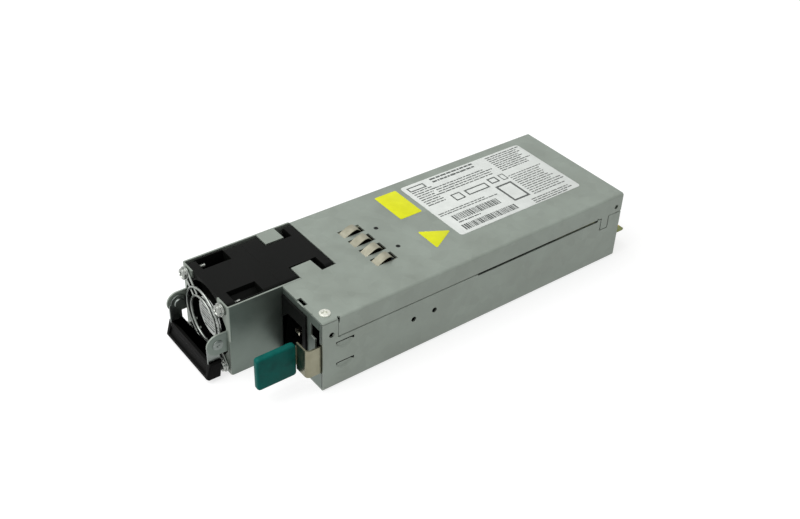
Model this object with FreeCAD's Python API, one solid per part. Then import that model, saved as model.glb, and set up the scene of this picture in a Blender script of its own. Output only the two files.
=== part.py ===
"""Hot swap server power supply, 73.5 x 39 x 185 mm case with a fan cage at the inlet end.

Frame: X across, Y from the inlet end to the card edge, Z up. The origin is the middle of
the underside, in the plane of the inlet face. All lengths are millimetres.
"""
import FreeCAD, Part
import math
import os

os.makedirs("parts", exist_ok=True)
V = FreeCAD.Vector

# --- driving dimensions: case -------------------------------------------------------
CASE_WIDTH = 73.5
BODY_LENGTH = 185.0          # inlet face to rear panel
CAGE_DEPTH = 28.0            # how far the fan cage stands in front of the inlet face
SHEET = 0.8                  # case sheet steel
BEND = 1.3                   # outside radius of a bend
SHEET_GAP = 0.2              # between folded sheets that slide together
COVER_FLANGE = 10.3          # depth of the cover's side flanges
FLANGE_START = 8.3           # the right flange starts this far behind the inlet face
JOGGLE = 1.0                 # how far the tray wall steps inward behind the flange
LIP = 7.5                    # height of that inner lip

# --- driving dimensions: fan ---------------------------------------------------------
FAN_SIZE = 38.0              # square frame
FAN_TOP_GAP = 0.2            # fan to the top of the case
FAN_SIDE_GAP = 0.825         # fan to each wall of its cage
FAN_HALF = 28.0              # length of one of the two coupled fans
FAN_SCREW_EDGE = 3.0         # screw hole to the frame's edge
FAN_WALL = 1.0               # frame round the air passage at its thinnest
FAN_POCKET = 8.75           # corner pockets behind the front flange, across
FAN_POCKET_LENGTH = 14.5
FAN_FLANGE = 4.5             # thickness of the square corner flanges
BLADE_TIP_GAP = 0.5
HUB_RADIUS = 10.4
FRONT_BLADE_COUNT = 7
REAR_BLADE_COUNT = 5
SHAFT_RADIUS = 1.0
RUNNING_GAP = 0.05           # radial clearance of every shaft and pivot
BEARING_RADIUS = 3.0
BEARING_WIDTH = 2.5
FAN_SCREW_RADIUS = 1.4

# --- driving dimensions: guard, handle, latch ---------------------------------------
WIRE = 1.2                   # finger guard wire diameter
GUARD_MARGIN = 3.4           # from the frame's side to the outer ring's wire
GUARD_OUTER = FAN_SIZE / 2 - GUARD_MARGIN
GUARD_INNER = 11.5
GUARD_LOOP = 2.3             # radius of the loop round each screw
LUG_RADIUS = 5.5
LUG_REACH = 5.0              # from the cage front to the handle pivot
LUG_INSET = 1.6              # the lugs stand this far inside the cage walls
PIVOT_RADIUS = 1.5
ARM_WIDTH = 6.0
ARM_THICK = 0.9
GRIP_HEIGHT = 9.0
GRIP_FLOOR = 1.5             # underside of the grip above the underside of the case
GRIP_WALL = 3.4
LATCH_THICK = 0.8
LATCH_HEIGHT = 15.2
LATCH_DROP = 18.3            # from the seam down to the latch strip's lower edge
LATCH_REACH = 7.5            # the strip's cross part stands this far in front of the inlet
LATCH_CROSS = 8.6            # length of the cross part
LATCH_TAIL = 17.6            # the strip's tail reaches this far behind the inlet face
TAB_LENGTH = 20.0
TAB_HEIGHT = 17.6
TAB_THICK = 3.6

# --- driving dimensions: inlet -------------------------------------------------------
SOCKET_WIDTH = 16.0          # the inlet's cavity, across
SOCKET_HEIGHT = 24.2
SOCKET_CHAMFER = 4.6
SOCKET_DEPTH = 16.0
SOCKET_Z = 15.1              # middle of the cavity
INLET_FACE_WIDTH = 19.4      # moulded face
INLET_TOP_GAP = 3.2          # face to the underside of the cover
INLET_FLOOR = 1.6
PIN_PITCH = 14.0             # line to neutral
PIN_OFFSET = 4.0             # earth pin from their line
PIN_LONG = 4.0
PIN_THICK = 2.0
PIN_REACH = 13.0

# --- driving dimensions: boards and what stands on them --------------------------------
BOARD = 1.6
STANDOFF = 4.0
BOARD_MARGIN = 1.2           # board edge to the case wall
BOARD_FRONT = 32.0
BOARD_BACK = 23.0            # board to the rear panel's outside
CARD_FLOOR = 10.0            # underside of the card-edge board
CARD_REACH = 10.0            # the card edge stands this far behind the rear panel
CARD_WIDTH = 54.0
CARD_LENGTH = 38.0
CARD_RIGHT = 4.0             # card edge to the right wall, outside
CONTACT_PITCH = 2.0
CONTACT_COUNT = 25
HEAD_GAP = 1.5               # tallest parts to the cover
CAP_RADIUS = 11.0
TOROID_RADIUS = 8.5
TOROID_WIRE = 3.6
CORE_WIDTH = 27.0
CORE_LENGTH = 24.0
SINK_THICK = 3.0
SINK_LENGTH = 40.0
TRANSISTOR_THICK = 4.2
TRANSISTOR_PITCH = 13.0
PART_GAP = 3.0               # between neighbours on the board

# --- places that follow from the sizes -----------------------------------------------
CASE_HEIGHT = SHEET + FAN_SIZE + FAN_TOP_GAP
CAGE_WIDTH = FAN_SIZE + 2 * (FAN_SIDE_GAP + SHEET)
LEFT = -CASE_WIDTH / 2
RIGHT = CASE_WIDTH / 2
CAGE_RIGHT = LEFT + CAGE_WIDTH
CAGE_FRONT = -CAGE_DEPTH
COVER_UNDER = CASE_HEIGHT - SHEET
SEAM = CASE_HEIGHT - COVER_FLANGE
FAN_PITCH = FAN_SIZE - 2 * FAN_SCREW_EDGE
FAN_BORE = FAN_SIZE - 2 * FAN_WALL
FAN_X = (LEFT + CAGE_RIGHT) / 2
FAN_Z = SHEET + FAN_SIZE / 2
FAN_FRONT = CAGE_FRONT + SHEET
FAN_REAR = FAN_FRONT + 2 * FAN_HALF
COVER_FRONT = FAN_REAR + 0.3
PIVOT_Y = CAGE_FRONT - LUG_REACH
PIVOT_Z = CASE_HEIGHT / 2
LUG_LEFT = LEFT + LUG_INSET
INLET_LEFT = CAGE_RIGHT + 0.3
INLET_RIGHT = INLET_LEFT + INLET_FACE_WIDTH
INLET_FACE_HEIGHT = COVER_UNDER - INLET_TOP_GAP - INLET_FLOOR
LATCH_FLOOR = SEAM - LATCH_DROP
SOCKET_X = INLET_LEFT + 0.7 + SOCKET_WIDTH / 2
PIN_X = SOCKET_X + 1.2
BOARD_TOP = SHEET + STANDOFF + BOARD
BOARD_LEFT = LEFT + SHEET + JOGGLE + SHEET + BOARD_MARGIN
BOARD_RIGHT = -BOARD_LEFT
BOARD_REAR = BODY_LENGTH - BOARD_BACK
HEADROOM = COVER_UNDER - HEAD_GAP - BOARD_TOP
CARD_X1 = RIGHT - CARD_RIGHT
CARD_X0 = CARD_X1 - CARD_WIDTH
CARD_REAR = BODY_LENGTH + CARD_REACH


# --- shape helpers -------------------------------------------------------------------
def block(x0, x1, y0, y1, z0, z1):
    """A box given by its two limits along each axis."""
    return Part.makeBox(x1 - x0, y1 - y0, z1 - z0, V(x0, y0, z0))


def ngon(centre, radius, sides):
    """The corners of a regular polygon round a centre, the first of them half a side past +90."""
    a, b = centre
    angles = [math.pi / 2 + 2 * math.pi * i / sides for i in range(sides)]
    return [(a + radius * math.cos(t), b + radius * math.sin(t)) for t in angles]


def rod(axis, centre, radius, start, end, sides=0):
    """A cylinder along X, Y or Z; centre holds its two other coordinates in X, Y, Z order.

    Given sides, it is a prism with its corners on that circle, for turned pieces out of sight.
    """
    if sides:
        return prism(axis, ngon(centre, radius, sides), start, end)
    a, b = centre
    base = {"x": V(start, a, b), "y": V(a, start, b), "z": V(a, b, start)}[axis]
    way = {"x": V(1, 0, 0), "y": V(0, 1, 0), "z": V(0, 0, 1)}[axis]
    return Part.makeCylinder(radius, end - start, base, way)


def prism(axis, outline, start, end):
    """A straight prism along an axis over an outline of points in the other two."""
    place = {
        "x": lambda a, b: V(start, a, b),
        "y": lambda a, b: V(a, start, b),
        "z": lambda a, b: V(a, b, start),
    }[axis]
    way = {"x": V(1, 0, 0), "y": V(0, 1, 0), "z": V(0, 0, 1)}[axis]
    points = [place(a, b) for a, b in outline]
    face = Part.Face(Part.makePolygon(points + points[:1]))
    return face.extrude(way * (end - start))


def round_edges(shape, radius, wanted):
    """Rounds the edges whose middle point and direction satisfy a test."""
    edges = []
    for edge in shape.Edges:
        first, last = edge.Vertexes[0].Point, edge.Vertexes[-1].Point
        if wanted((first + last) * 0.5, last - first):
            edges.append(edge)
    return shape.makeFillet(radius, edges)


def along(axis):
    """A test for straight edges along one axis."""
    index = "xyz".index(axis)
    return lambda middle, way: abs(abs(way[index]) - way.Length) < 1e-6 and way.Length > 0


def join(shapes):
    """One solid from shapes that touch or overlap."""
    return shapes[0].multiFuse(shapes[1:]).removeSplitter()


def cut(shape, tools):
    return shape.cut(Part.makeCompound(tools))


def write(node, shapes):
    """Writes one node; a list of several pieces goes in as separate solids."""
    if not isinstance(shapes, list):
        shapes = [shapes]
    solids = [solid for shape in shapes for solid in shape.Solids]
    out = solids[0] if len(solids) == 1 else Part.makeCompound(solids)
    out.exportStep("parts/" + node + ".step")


def square_ring(centre, radius, thick, sides=36):
    """A many-sided ring of square section round an axis along Y."""
    half = thick / 2
    x, y, z = centre
    outer = rod("y", (x, z), radius + half, y - half, y + half, sides)
    return outer.cut(rod("y", (x, z), radius - half, y - thick, y + thick, sides))


def mirrored(shape, x):
    """The shape's mirror image in the plane across X at x."""
    return shape.mirror(V(x, 0, 0), V(1, 0, 0))


# --- case ----------------------------------------------------------------------------
DIMPLE_CHORD = 9.6
DIMPLE_RISE = 3.3
DIMPLE_DEPTH = 1.0
DIMPLE_Y = 11.8
DIMPLE_TOPS = (SEAM - 4.7, SEAM - 16.7)
EAR_WIDTH = 9.05
EAR_DROP = 3.7
EAR_FOOT = 12.5
CAGE_STRIP = 2.4
TONGUE_HALF = 11.0
TONGUE_REACH = 5.5
SEAM_SLOT_START = 88.0       # the seam stands open from here to the hook
HOOK_BACK = 14.0             # from the rear to the front of the right flange's hook
HOOK_LENGTH = 4.8
HOOK_DROP = 7.0              # how far the hook reaches below the seam
HOOK_SIDE = 0.5
HOOK_START = BODY_LENGTH - HOOK_BACK
SLOT_END = HOOK_START - 2.7
WALL_HOLE = 1.4
WALL_HOLES = (                # along Y, and below the top of the case
    (4.7, 8.2),
    (50.1, 20.5),
    (62.3, 20.6),
)
TAB_START = FAN_FRONT + FAN_HALF + FAN_FLANGE + 5.2
TAB_END = TAB_START + 9.8
TAB_SIDE = 0.6               # gap round the top tab
COVER_SCREW_PLACE = (RIGHT - 5.75, 4.9)
COVER_SCREW_RADIUS = 1.5
KEY_SLOT_X = RIGHT - 20.75   # small slot at the cover's front edge
KEY_SLOT_WIDTH = 5.6


def channel(x0, x1, y0, y1, height):
    """A floor with two upright walls, bent from one sheet."""
    outer = block(x0, x1, y0, y1, 0, height)
    inner = block(x0 + SHEET, x1 - SHEET, y0, y1, SHEET, height)
    at_floor = along("y")
    outer = round_edges(outer, BEND, lambda m, w: at_floor(m, w) and m.z < 0.01)
    inner = round_edges(inner, BEND - SHEET, lambda m, w: at_floor(m, w) and m.z < SHEET + 0.01)
    return outer.cut(inner)


def wall_lip(y0, y1):
    """The right wall's upper part, stepped inward so that the cover's flange sits flush."""
    step = SEAM - SHEET_GAP - 0.5
    outline = [
        (RIGHT, step),
        (RIGHT - JOGGLE, step + 0.5),
        (RIGHT - JOGGLE, step + LIP),
        (RIGHT - JOGGLE - SHEET, step + LIP),
        (RIGHT - JOGGLE - SHEET, step - 0.2),
        (RIGHT - SHEET, step - 0.7),
    ]
    return prism("y", outline, y0, y1)


def dimple(top, depth_in, grow):
    """Half of a shallow cone frustum pressed into the right wall below a slit."""
    radius = (DIMPLE_CHORD ** 2 / 4 + DIMPLE_RISE ** 2) / (2 * DIMPLE_RISE)
    centre = top + radius - DIMPLE_RISE
    cone = Part.makeCone(radius + grow, radius + grow - 1.0, DIMPLE_DEPTH,
                         V(RIGHT - depth_in, DIMPLE_Y, centre), V(-1, 0, 0))
    half = DIMPLE_CHORD
    below = block(RIGHT - 9, RIGHT + 1, DIMPLE_Y - half, DIMPLE_Y + half, top - half, top)
    return cone.common(below)


def lug():
    """The left handle lug, bent forward from the cage's front flange."""
    x1 = LUG_LEFT + SHEET
    plate = block(LUG_LEFT, x1, PIVOT_Y, CAGE_FRONT + SHEET, PIVOT_Z - LUG_RADIUS,
                  PIVOT_Z + LUG_RADIUS)
    nose = rod("x", (PIVOT_Y, PIVOT_Z), LUG_RADIUS, LUG_LEFT, x1)
    hole = rod("x", (PIVOT_Y, PIVOT_Z), PIVOT_RADIUS, LUG_LEFT - 1, x1 + 1)
    return plate.fuse(nose).cut(hole)


def fan_screw_places():
    half = FAN_PITCH / 2
    return [(FAN_X + i * half, FAN_Z + k * half) for i in (-1, 1) for k in (-1, 1)]


def cage_front():
    """The cage walls and front flange, bent from one sheet, with the fan's opening."""
    outer = block(LEFT, CAGE_RIGHT, CAGE_FRONT, 0, 0, CASE_HEIGHT)
    inner = block(LEFT + SHEET, CAGE_RIGHT - SHEET, FAN_FRONT, 1, 0, CASE_HEIGHT)
    upright = along("z")
    outer = round_edges(outer, BEND, lambda m, w: upright(m, w) and m.y < CAGE_FRONT + 0.01)
    inner = round_edges(inner, BEND - SHEET, lambda m, w: upright(m, w) and m.y < FAN_FRONT + 0.01)
    shell = outer.cut(inner)
    right_half = [
        (CAGE_RIGHT - EAR_WIDTH, CASE_HEIGHT + 1),
        (CAGE_RIGHT - EAR_WIDTH, CASE_HEIGHT - EAR_DROP),
        (CAGE_RIGHT - CAGE_STRIP, CASE_HEIGHT - EAR_FOOT),
        (CAGE_RIGHT - CAGE_STRIP, EAR_FOOT),
        (CAGE_RIGHT - EAR_WIDTH, EAR_DROP),
        (CAGE_RIGHT - EAR_WIDTH, SHEET),
    ]
    left_half = [(2 * FAN_X - x, z) for x, z in reversed(right_half)]
    opening = prism("y", right_half + left_half, CAGE_FRONT - 1, FAN_FRONT + 0.5)
    holes = [rod("y", place, FAN_SCREW_RADIUS + 0.1, CAGE_FRONT - 1, FAN_FRONT + 1, sides=16)
             for place in fan_screw_places()]
    return cut(shell, [opening] + holes)


def make_tray():
    wall_top = SEAM - SHEET_GAP - 0.5
    body = channel(LEFT, RIGHT, 0, BODY_LENGTH, wall_top)
    cage_floor = channel(LEFT, CAGE_RIGHT, CAGE_FRONT, 0, CASE_HEIGHT / 2)
    tongue = block(FAN_X - TONGUE_HALF, FAN_X + TONGUE_HALF, CAGE_FRONT - TONGUE_REACH,
                   CAGE_FRONT + 2, 0, SHEET)
    left_wall = block(LEFT, LEFT + SHEET, -1, COVER_FRONT - SHEET_GAP, wall_top - 1, CASE_HEIGHT)
    tab = block(LEFT, LEFT + EAR_WIDTH + 0.6, TAB_START, TAB_END, COVER_UNDER, CASE_HEIGHT)
    tab = round_edges(tab, BEND - SHEET, lambda m, w: along("y")(m, w) and m.x < LEFT + 0.01
                      and m.z > CASE_HEIGHT - 0.01)
    inner_wall = block(CAGE_RIGHT - SHEET, CAGE_RIGHT, -1, COVER_FRONT - SHEET_GAP, SHEET / 2,
                       COVER_UNDER - SHEET_GAP)
    bare_top = block(CAGE_RIGHT - SHEET, CAGE_RIGHT, -1, TAB_START - TAB_SIDE,
                     COVER_UNDER - 1, CASE_HEIGHT)
    right_front = block(RIGHT - SHEET, RIGHT, 0, FLANGE_START - SHEET_GAP, wall_top - 1,
                        COVER_UNDER - SHEET_GAP)
    right_lip = wall_lip(FLANGE_START + 1.0, BODY_LENGTH)
    left_lip = mirrored(wall_lip(COVER_FRONT + 1.0, BODY_LENGTH), 0)
    lugs = [lug(), mirrored(lug(), FAN_X)]
    bulges = [dimple(top, SHEET, 0.0) for top in DIMPLE_TOPS]
    tray = join([body, cage_floor, cage_front(), tongue, left_wall, tab, inner_wall, bare_top,
                 right_front, right_lip, left_lip] + lugs + bulges)
    cuts = [dimple(top, 0.0, 0.0) for top in DIMPLE_TOPS]
    slit = DIMPLE_CHORD / 2
    cuts += [block(RIGHT - 2 * SHEET - DIMPLE_DEPTH, RIGHT + 1, DIMPLE_Y - slit, DIMPLE_Y + slit,
                   top, top + 0.6) for top in DIMPLE_TOPS]
    cuts += [rod("x", (y, CASE_HEIGHT - down), WALL_HOLE, RIGHT - 3, RIGHT + 1, sides=16)
             for y, down in WALL_HOLES]
    cuts.append(block(RIGHT - 3, RIGHT + 1, SEAM_SLOT_START, SLOT_END, wall_top - 0.7, CASE_HEIGHT))
    cuts.append(block(RIGHT - 3, RIGHT + 1, HOOK_START - HOOK_SIDE, HOOK_START + HOOK_LENGTH + HOOK_SIDE,
                      SEAM - HOOK_DROP - HOOK_SIDE, CASE_HEIGHT))
    return cut(tray, cuts)


def make_cover():
    notch = (TAB_START - 0.2, TAB_END + 1.0)
    outline = [
        (LEFT, BODY_LENGTH),
        (LEFT, COVER_FRONT),
        (CAGE_RIGHT - 0.6, COVER_FRONT),
        (CAGE_RIGHT - 0.1, notch[1]),
        (CAGE_RIGHT - EAR_WIDTH - 0.45, notch[1] - 0.4),
        (CAGE_RIGHT - EAR_WIDTH - 0.2, notch[0]),
        (CAGE_RIGHT + 0.1, notch[0] - 0.2),
        (CAGE_RIGHT + 0.1, 0),
        (RIGHT, 0),
        (RIGHT, BODY_LENGTH),
    ]
    plate = prism("z", outline, SEAM, CASE_HEIGHT)
    plate = round_edges(plate, BEND, lambda m, w: along("y")(m, w) and m.z > CASE_HEIGHT - 0.01
                        and abs(m.x) > RIGHT - 0.01)
    hollow = block(LEFT + SHEET, RIGHT - SHEET, -1, BODY_LENGTH + 1, SEAM - 1, COVER_UNDER)
    hollow = round_edges(hollow, BEND - SHEET, lambda m, w: along("y")(m, w)
                         and m.z > COVER_UNDER - 0.01)
    hook = block(RIGHT - SHEET, RIGHT, HOOK_START, HOOK_START + HOOK_LENGTH, SEAM - HOOK_DROP, SEAM + 1)
    corner = block(RIGHT - SHEET - 0.1, RIGHT + 1, -1, FLANGE_START, SEAM - 1, COVER_UNDER)
    cuts = [
        hollow,
        corner,
        block(KEY_SLOT_X, KEY_SLOT_X + KEY_SLOT_WIDTH, -1, 2.3, COVER_UNDER - 1, CASE_HEIGHT + 1),
        rod("z", (COVER_SCREW_PLACE[0] - 2.8, 0.0), 0.5, COVER_UNDER - 1, CASE_HEIGHT + 1, sides=16),
        rod("z", (RIGHT - 0.6, FLANGE_START + 0.2), 0.7, COVER_UNDER - 2, CASE_HEIGHT + 1, sides=16),
        rod("z", COVER_SCREW_PLACE, COVER_SCREW_RADIUS + 0.2, COVER_UNDER - 1, CASE_HEIGHT + 1, sides=16),
        rod("x", (BODY_LENGTH - 4.0, CASE_HEIGHT - 7.0), 1.25, RIGHT - 2, RIGHT + 1, sides=16),
        rod("x", (SLOT_END, SEAM), 0.7, RIGHT - 2, RIGHT + 1, sides=16),
    ]
    for x in finger_centres():
        cuts.append(block(x - FINGER_SLOT / 2, x + FINGER_SLOT / 2, FINGER_START,
                          FINGER_START + FINGER_LENGTH, COVER_UNDER - 1, CASE_HEIGHT + 1))
    cuts += [rod("z", place, CLIP_RIVET, COVER_UNDER - 1, CASE_HEIGHT + 1, sides=12)
             for place in clip_rivet_places()]
    return cut(plate, cuts[:1]).fuse(hook).cut(Part.makeCompound(cuts[1:])).removeSplitter()


VENT_PITCH = 6.4
VENT_RADIUS = 2.6
CARD_GAP = 0.8               # the rear panel's window round the card edge


def make_rear_panel():
    """The rear wall, pierced with hexagons over the card-edge window."""
    side = RIGHT - SHEET - SHEET_GAP - JOGGLE - SHEET
    y0, y1 = BODY_LENGTH - SHEET, BODY_LENGTH
    top = COVER_UNDER - SHEET_GAP
    panel = block(-side, side, y0, y1, SHEET, top)
    feet = block(-side, side, y0 - 6, y1, SHEET, 2 * SHEET)
    wings = [block(s * side - (SHEET if s > 0 else 0), s * side + (SHEET if s < 0 else 0),
                   y0 - 6, y1, SHEET, top) for s in (-1, 1)]
    panel = join([panel, feet] + wings)
    window = block(CARD_X0 - CARD_GAP, CARD_X1 + CARD_GAP, y0 - 7, y1 + 1,
                   CARD_FLOOR - CARD_GAP, CARD_FLOOR + BOARD + CARD_GAP)
    vents = []
    first_row = CARD_FLOOR + BOARD + CARD_GAP + VENT_PITCH * 0.6
    rows = int((top - 1.5 - first_row - VENT_RADIUS) / (VENT_PITCH * 0.87)) + 1
    columns = int((2 * side - 8) / VENT_PITCH)
    for row in range(rows):
        shift = VENT_PITCH / 2 if row % 2 else 0.0
        count = columns - row % 2
        for column in range(count):
            x = -VENT_PITCH * (columns - 1) / 2 + VENT_PITCH * column + shift
            z = first_row + VENT_PITCH * 0.87 * row
            vents.append(prism("y", ngon((x, z), VENT_RADIUS, 6), y0 - 1, y1 + 1))
    return cut(panel, [window] + vents)


def make_inlet_plate():
    """The wall round the inlet, with the latch window, the screw flange and a foot."""
    x0, x1 = CAGE_RIGHT + SHEET_GAP, RIGHT - SHEET - SHEET_GAP
    top = COVER_UNDER
    plate = block(x0, x1, 0, SHEET, SHEET, top)
    plate = round_edges(plate, BEND - SHEET, lambda m, w: along("y")(m, w) and m.x > x1 - 0.01)
    flange = block(x1 - 12, x1 - BEND + SHEET, 0, 9, top - SHEET, top)
    foot = block(x0, x1 - BEND + SHEET, 0, 6, SHEET, 2 * SHEET)
    inlet = block(INLET_LEFT, INLET_RIGHT - 0.6, -1, SHEET + 1,
                  INLET_FLOOR + 0.6, INLET_FLOOR + INLET_FACE_HEIGHT - 0.6)
    latch = block(x1 - 5.2, x1 + 1, -1, 7, LATCH_FLOOR - 0.8, LATCH_FLOOR + LATCH_HEIGHT + 0.8)
    lamp = block(INLET_RIGHT + 3.05, x1 - 1.6, -1, SHEET + 1, LATCH_FLOOR + LATCH_HEIGHT + 0.8,
                 top - 4.6)
    screw = rod("z", COVER_SCREW_PLACE, COVER_SCREW_RADIUS, top - 3, top + 1, sides=12)
    return cut(join([plate, flange, foot]), [inlet, latch, lamp, screw])



def make_cover_screw():
    """Flat pan screw through the cover into the inlet plate's flange."""
    shank = rod("z", COVER_SCREW_PLACE, COVER_SCREW_RADIUS, COVER_UNDER - 4, CASE_HEIGHT, sides=12)
    head = Part.makeCone(2.6, 2.2, 0.7, V(*COVER_SCREW_PLACE, CASE_HEIGHT), V(0, 0, 1))
    return shank.fuse(head).removeSplitter()


# --- grounding clip ------------------------------------------------------------------
FINGER_PITCH = 8.85
FINGER_SLOT = 6.0
FINGER_WIDTH = 5.0
FINGER_START = 43.5
FINGER_LENGTH = 12.0
FINGER_CREST = 2.0           # above the cover
CLIP_THICK = 0.3
CLIP_RIVET = 1.2
CLIP_RIVET_X = 8.85
CLIP_RIVET_Y = 61.1


def finger_centres():
    return [FINGER_PITCH * (i - 1.5) for i in range(4)]


def clip_rivet_places():
    return [(-CLIP_RIVET_X, CLIP_RIVET_Y), (CLIP_RIVET_X, CLIP_RIVET_Y)]


def strip(axis, path, start, end, thickness):
    """A thin strip whose profile follows a smooth line of points, extruded along an axis."""
    upper = []
    lower = []
    for i, (a, b) in enumerate(path):
        before = path[max(i - 1, 0)]
        after = path[min(i + 1, len(path) - 1)]
        da, db = after[0] - before[0], after[1] - before[1]
        size = math.hypot(da, db)
        na, nb = -db / size * thickness / 2, da / size * thickness / 2
        upper.append((a + na, b + nb))
        lower.append((a - na, b - nb))
    return prism(axis, upper + lower[::-1], start, end)


def finger_path():
    """From the clip's flat, up through the slot to the crest, and down into the slot."""
    flat = COVER_UNDER - CLIP_THICK / 2
    rise = CASE_HEIGHT + FINGER_CREST - CLIP_THICK / 2 - flat
    y0 = FINGER_START + 0.4
    crest = FINGER_START + 7.6
    end = FINGER_START + FINGER_LENGTH - 1.4
    points = [(y0 - 1.6, flat)]
    steps = 5
    for i in range(steps + 1):
        t = i / steps
        points.append((y0 + (crest - y0) * t, flat + rise * math.sin(t * math.pi / 2) ** 1.3))
    drop = rise * 0.9
    for i in range(1, 4):
        t = i / 3
        points.append((crest + (end - crest) * t, flat + rise - drop * t ** 1.8))
    return points


def make_grounding_clip():
    """Stainless spring clip under the cover with four fingers through its slots."""
    half = FINGER_PITCH * 1.5 + FINGER_WIDTH / 2 + 1.2
    z0, z1 = COVER_UNDER - CLIP_THICK, COVER_UNDER
    front = block(-half, half, FINGER_START - 4, FINGER_START, z0, z1)
    back = block(-half, half, FINGER_START + FINGER_LENGTH, CLIP_RIVET_Y + 4, z0, z1)
    rails = [block(x - 0.9, x + 0.9, FINGER_START - 1, FINGER_START + FINGER_LENGTH + 1, z0, z1)
             for x in (-half + 0.9, 0.0, half - 0.9)]
    fingers = [strip("x", finger_path(), x - FINGER_WIDTH / 2, x + FINGER_WIDTH / 2, CLIP_THICK)
               for x in finger_centres()]
    plate = join([front, back] + rails + fingers)
    return cut(plate, [rod("z", place, CLIP_RIVET, z0 - 1, z1 + 1, sides=12)
                       for place in clip_rivet_places()])


def make_clip_rivets():
    """Rivets that hold the clip to the cover, their shanks flush with its top or just below."""
    rivets = []
    for place in clip_rivet_places():
        shank = rod("z", place, CLIP_RIVET, COVER_UNDER - CLIP_THICK, CASE_HEIGHT - 0.3, sides=12)
        head = rod("z", place, 2.0, COVER_UNDER - CLIP_THICK - 0.6, COVER_UNDER - CLIP_THICK, sides=12)
        rivets.append(shank.fuse(head).removeSplitter())
    return rivets


# --- fan -----------------------------------------------------------------------------
STRUT = 2.4
MOTOR_BASE = 2.0
FAN_CORNER = 2.0
POST_RADIUS = BEARING_RADIUS + 0.8
HUB_WALL = 0.9
BLADE_SWEEP = 11.0
BLADE_THICK = 0.9


def fan_front(front):
    """Where the front or the rear half of the fan starts."""
    return FAN_FRONT if front else FAN_FRONT + FAN_HALF


def fan_rod(radius, start, end, sides=0):
    """A cylinder on the fan's axis."""
    return rod("y", (FAN_X, FAN_Z), radius, start, end, sides)


def around_fan(shape, angle):
    """The shape turned about the fan's axis."""
    turned = shape.copy()
    turned.rotate(V(FAN_X, 0, FAN_Z), V(0, 1, 0), angle)
    return turned


def make_fan_frame(front):
    """Half of the coupled fan: a square duct with corner pockets, struts and the motor's post."""
    y0 = fan_front(front)
    y1 = y0 + FAN_HALF
    half = FAN_SIZE / 2
    body = block(FAN_X - half, FAN_X + half, y0, y1, FAN_Z - half, FAN_Z + half)
    body = round_edges(body, FAN_CORNER, along("y"))
    if front:
        pocket_y = (y0 + FAN_FLANGE, y0 + FAN_FLANGE + FAN_POCKET_LENGTH)
    else:
        pocket_y = (y1 - FAN_FLANGE - FAN_POCKET_LENGTH, y1 - FAN_FLANGE)
    inner = half - FAN_POCKET
    pockets = [block(FAN_X + inner, FAN_X + half + 1, *pocket_y, FAN_Z + inner, FAN_Z + half + 1)]
    pockets += [around_fan(pockets[0], 90 * i) for i in range(1, 4)]
    duct = fan_rod(FAN_BORE / 2 + FAN_WALL, *pocket_y)
    pockets = [pocket.cut(duct) for pocket in pockets]
    bore = fan_rod(FAN_BORE / 2, y0 - 1, y1 + 1, sides=48)
    holes = [rod("y", place, FAN_SCREW_RADIUS, y0 - 1, pocket_y[0] + 1, sides=6)
             for place in fan_screw_places() if front]
    body = cut(body, pockets + [bore] + holes)
    strut = block(FAN_X - STRUT / 2, FAN_X + STRUT / 2, y1 - 3.0, y1 - 0.4,
                  FAN_Z + HUB_RADIUS - 1, FAN_Z + FAN_BORE / 2 + 0.3)
    struts = [around_fan(strut, angle) for angle in (45, 135, 225, 315)]
    base = fan_rod(HUB_RADIUS, y1 - 3.0, y1 - 3.0 + MOTOR_BASE, sides=24)
    post = fan_rod(POST_RADIUS, y0 + 6, y1 - 2, sides=12)
    well = fan_rod(BEARING_RADIUS, y0 + 5, y1 - 3.0 + MOTOR_BASE - 0.6, sides=12)
    return join([body, base, post] + struts).cut(well)


def bearing_spans(front):
    y0 = fan_front(front)
    return [(y0 + 6.2, y0 + 6.2 + BEARING_WIDTH), (y0 + 19.0, y0 + 19.0 + BEARING_WIDTH)]


def make_bearings():
    """Two ball bearings in each motor's post."""
    rings = []
    for front in (True, False):
        for start, end in bearing_spans(front):
            bore = fan_rod(SHAFT_RADIUS + RUNNING_GAP, start - 1, end + 1, sides=16)
            rings.append(fan_rod(BEARING_RADIUS - 0.02, start, end, sides=12).cut(bore))
    return rings


def make_stator(front):
    """Laminated four-pole stator with its windings, pressed on the bearing post."""
    y0 = fan_front(front) + 9.0
    ring = fan_rod(5.0, y0, y0 + 9.0, sides=12)
    pole = block(FAN_X - 2.0, FAN_X + 2.0, y0 + 1, y0 + 8, FAN_Z, FAN_Z + 7.2)
    poles = [around_fan(pole, angle) for angle in (0, 90, 180, 270)]
    hole = fan_rod(POST_RADIUS + 0.02, y0 - 1, y0 + 12, sides=12)
    return join([ring] + poles).cut(hole)


def blade_profile(y0, y1, sweep):
    """The cambered section of a blade at its root, from the front edge to the rear one."""
    steps = 4
    path = []
    for i in range(steps + 1):
        t = i / steps
        path.append((FAN_X + sweep * t ** 1.5, y0 + (y1 - y0) * t))
    return path


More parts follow.
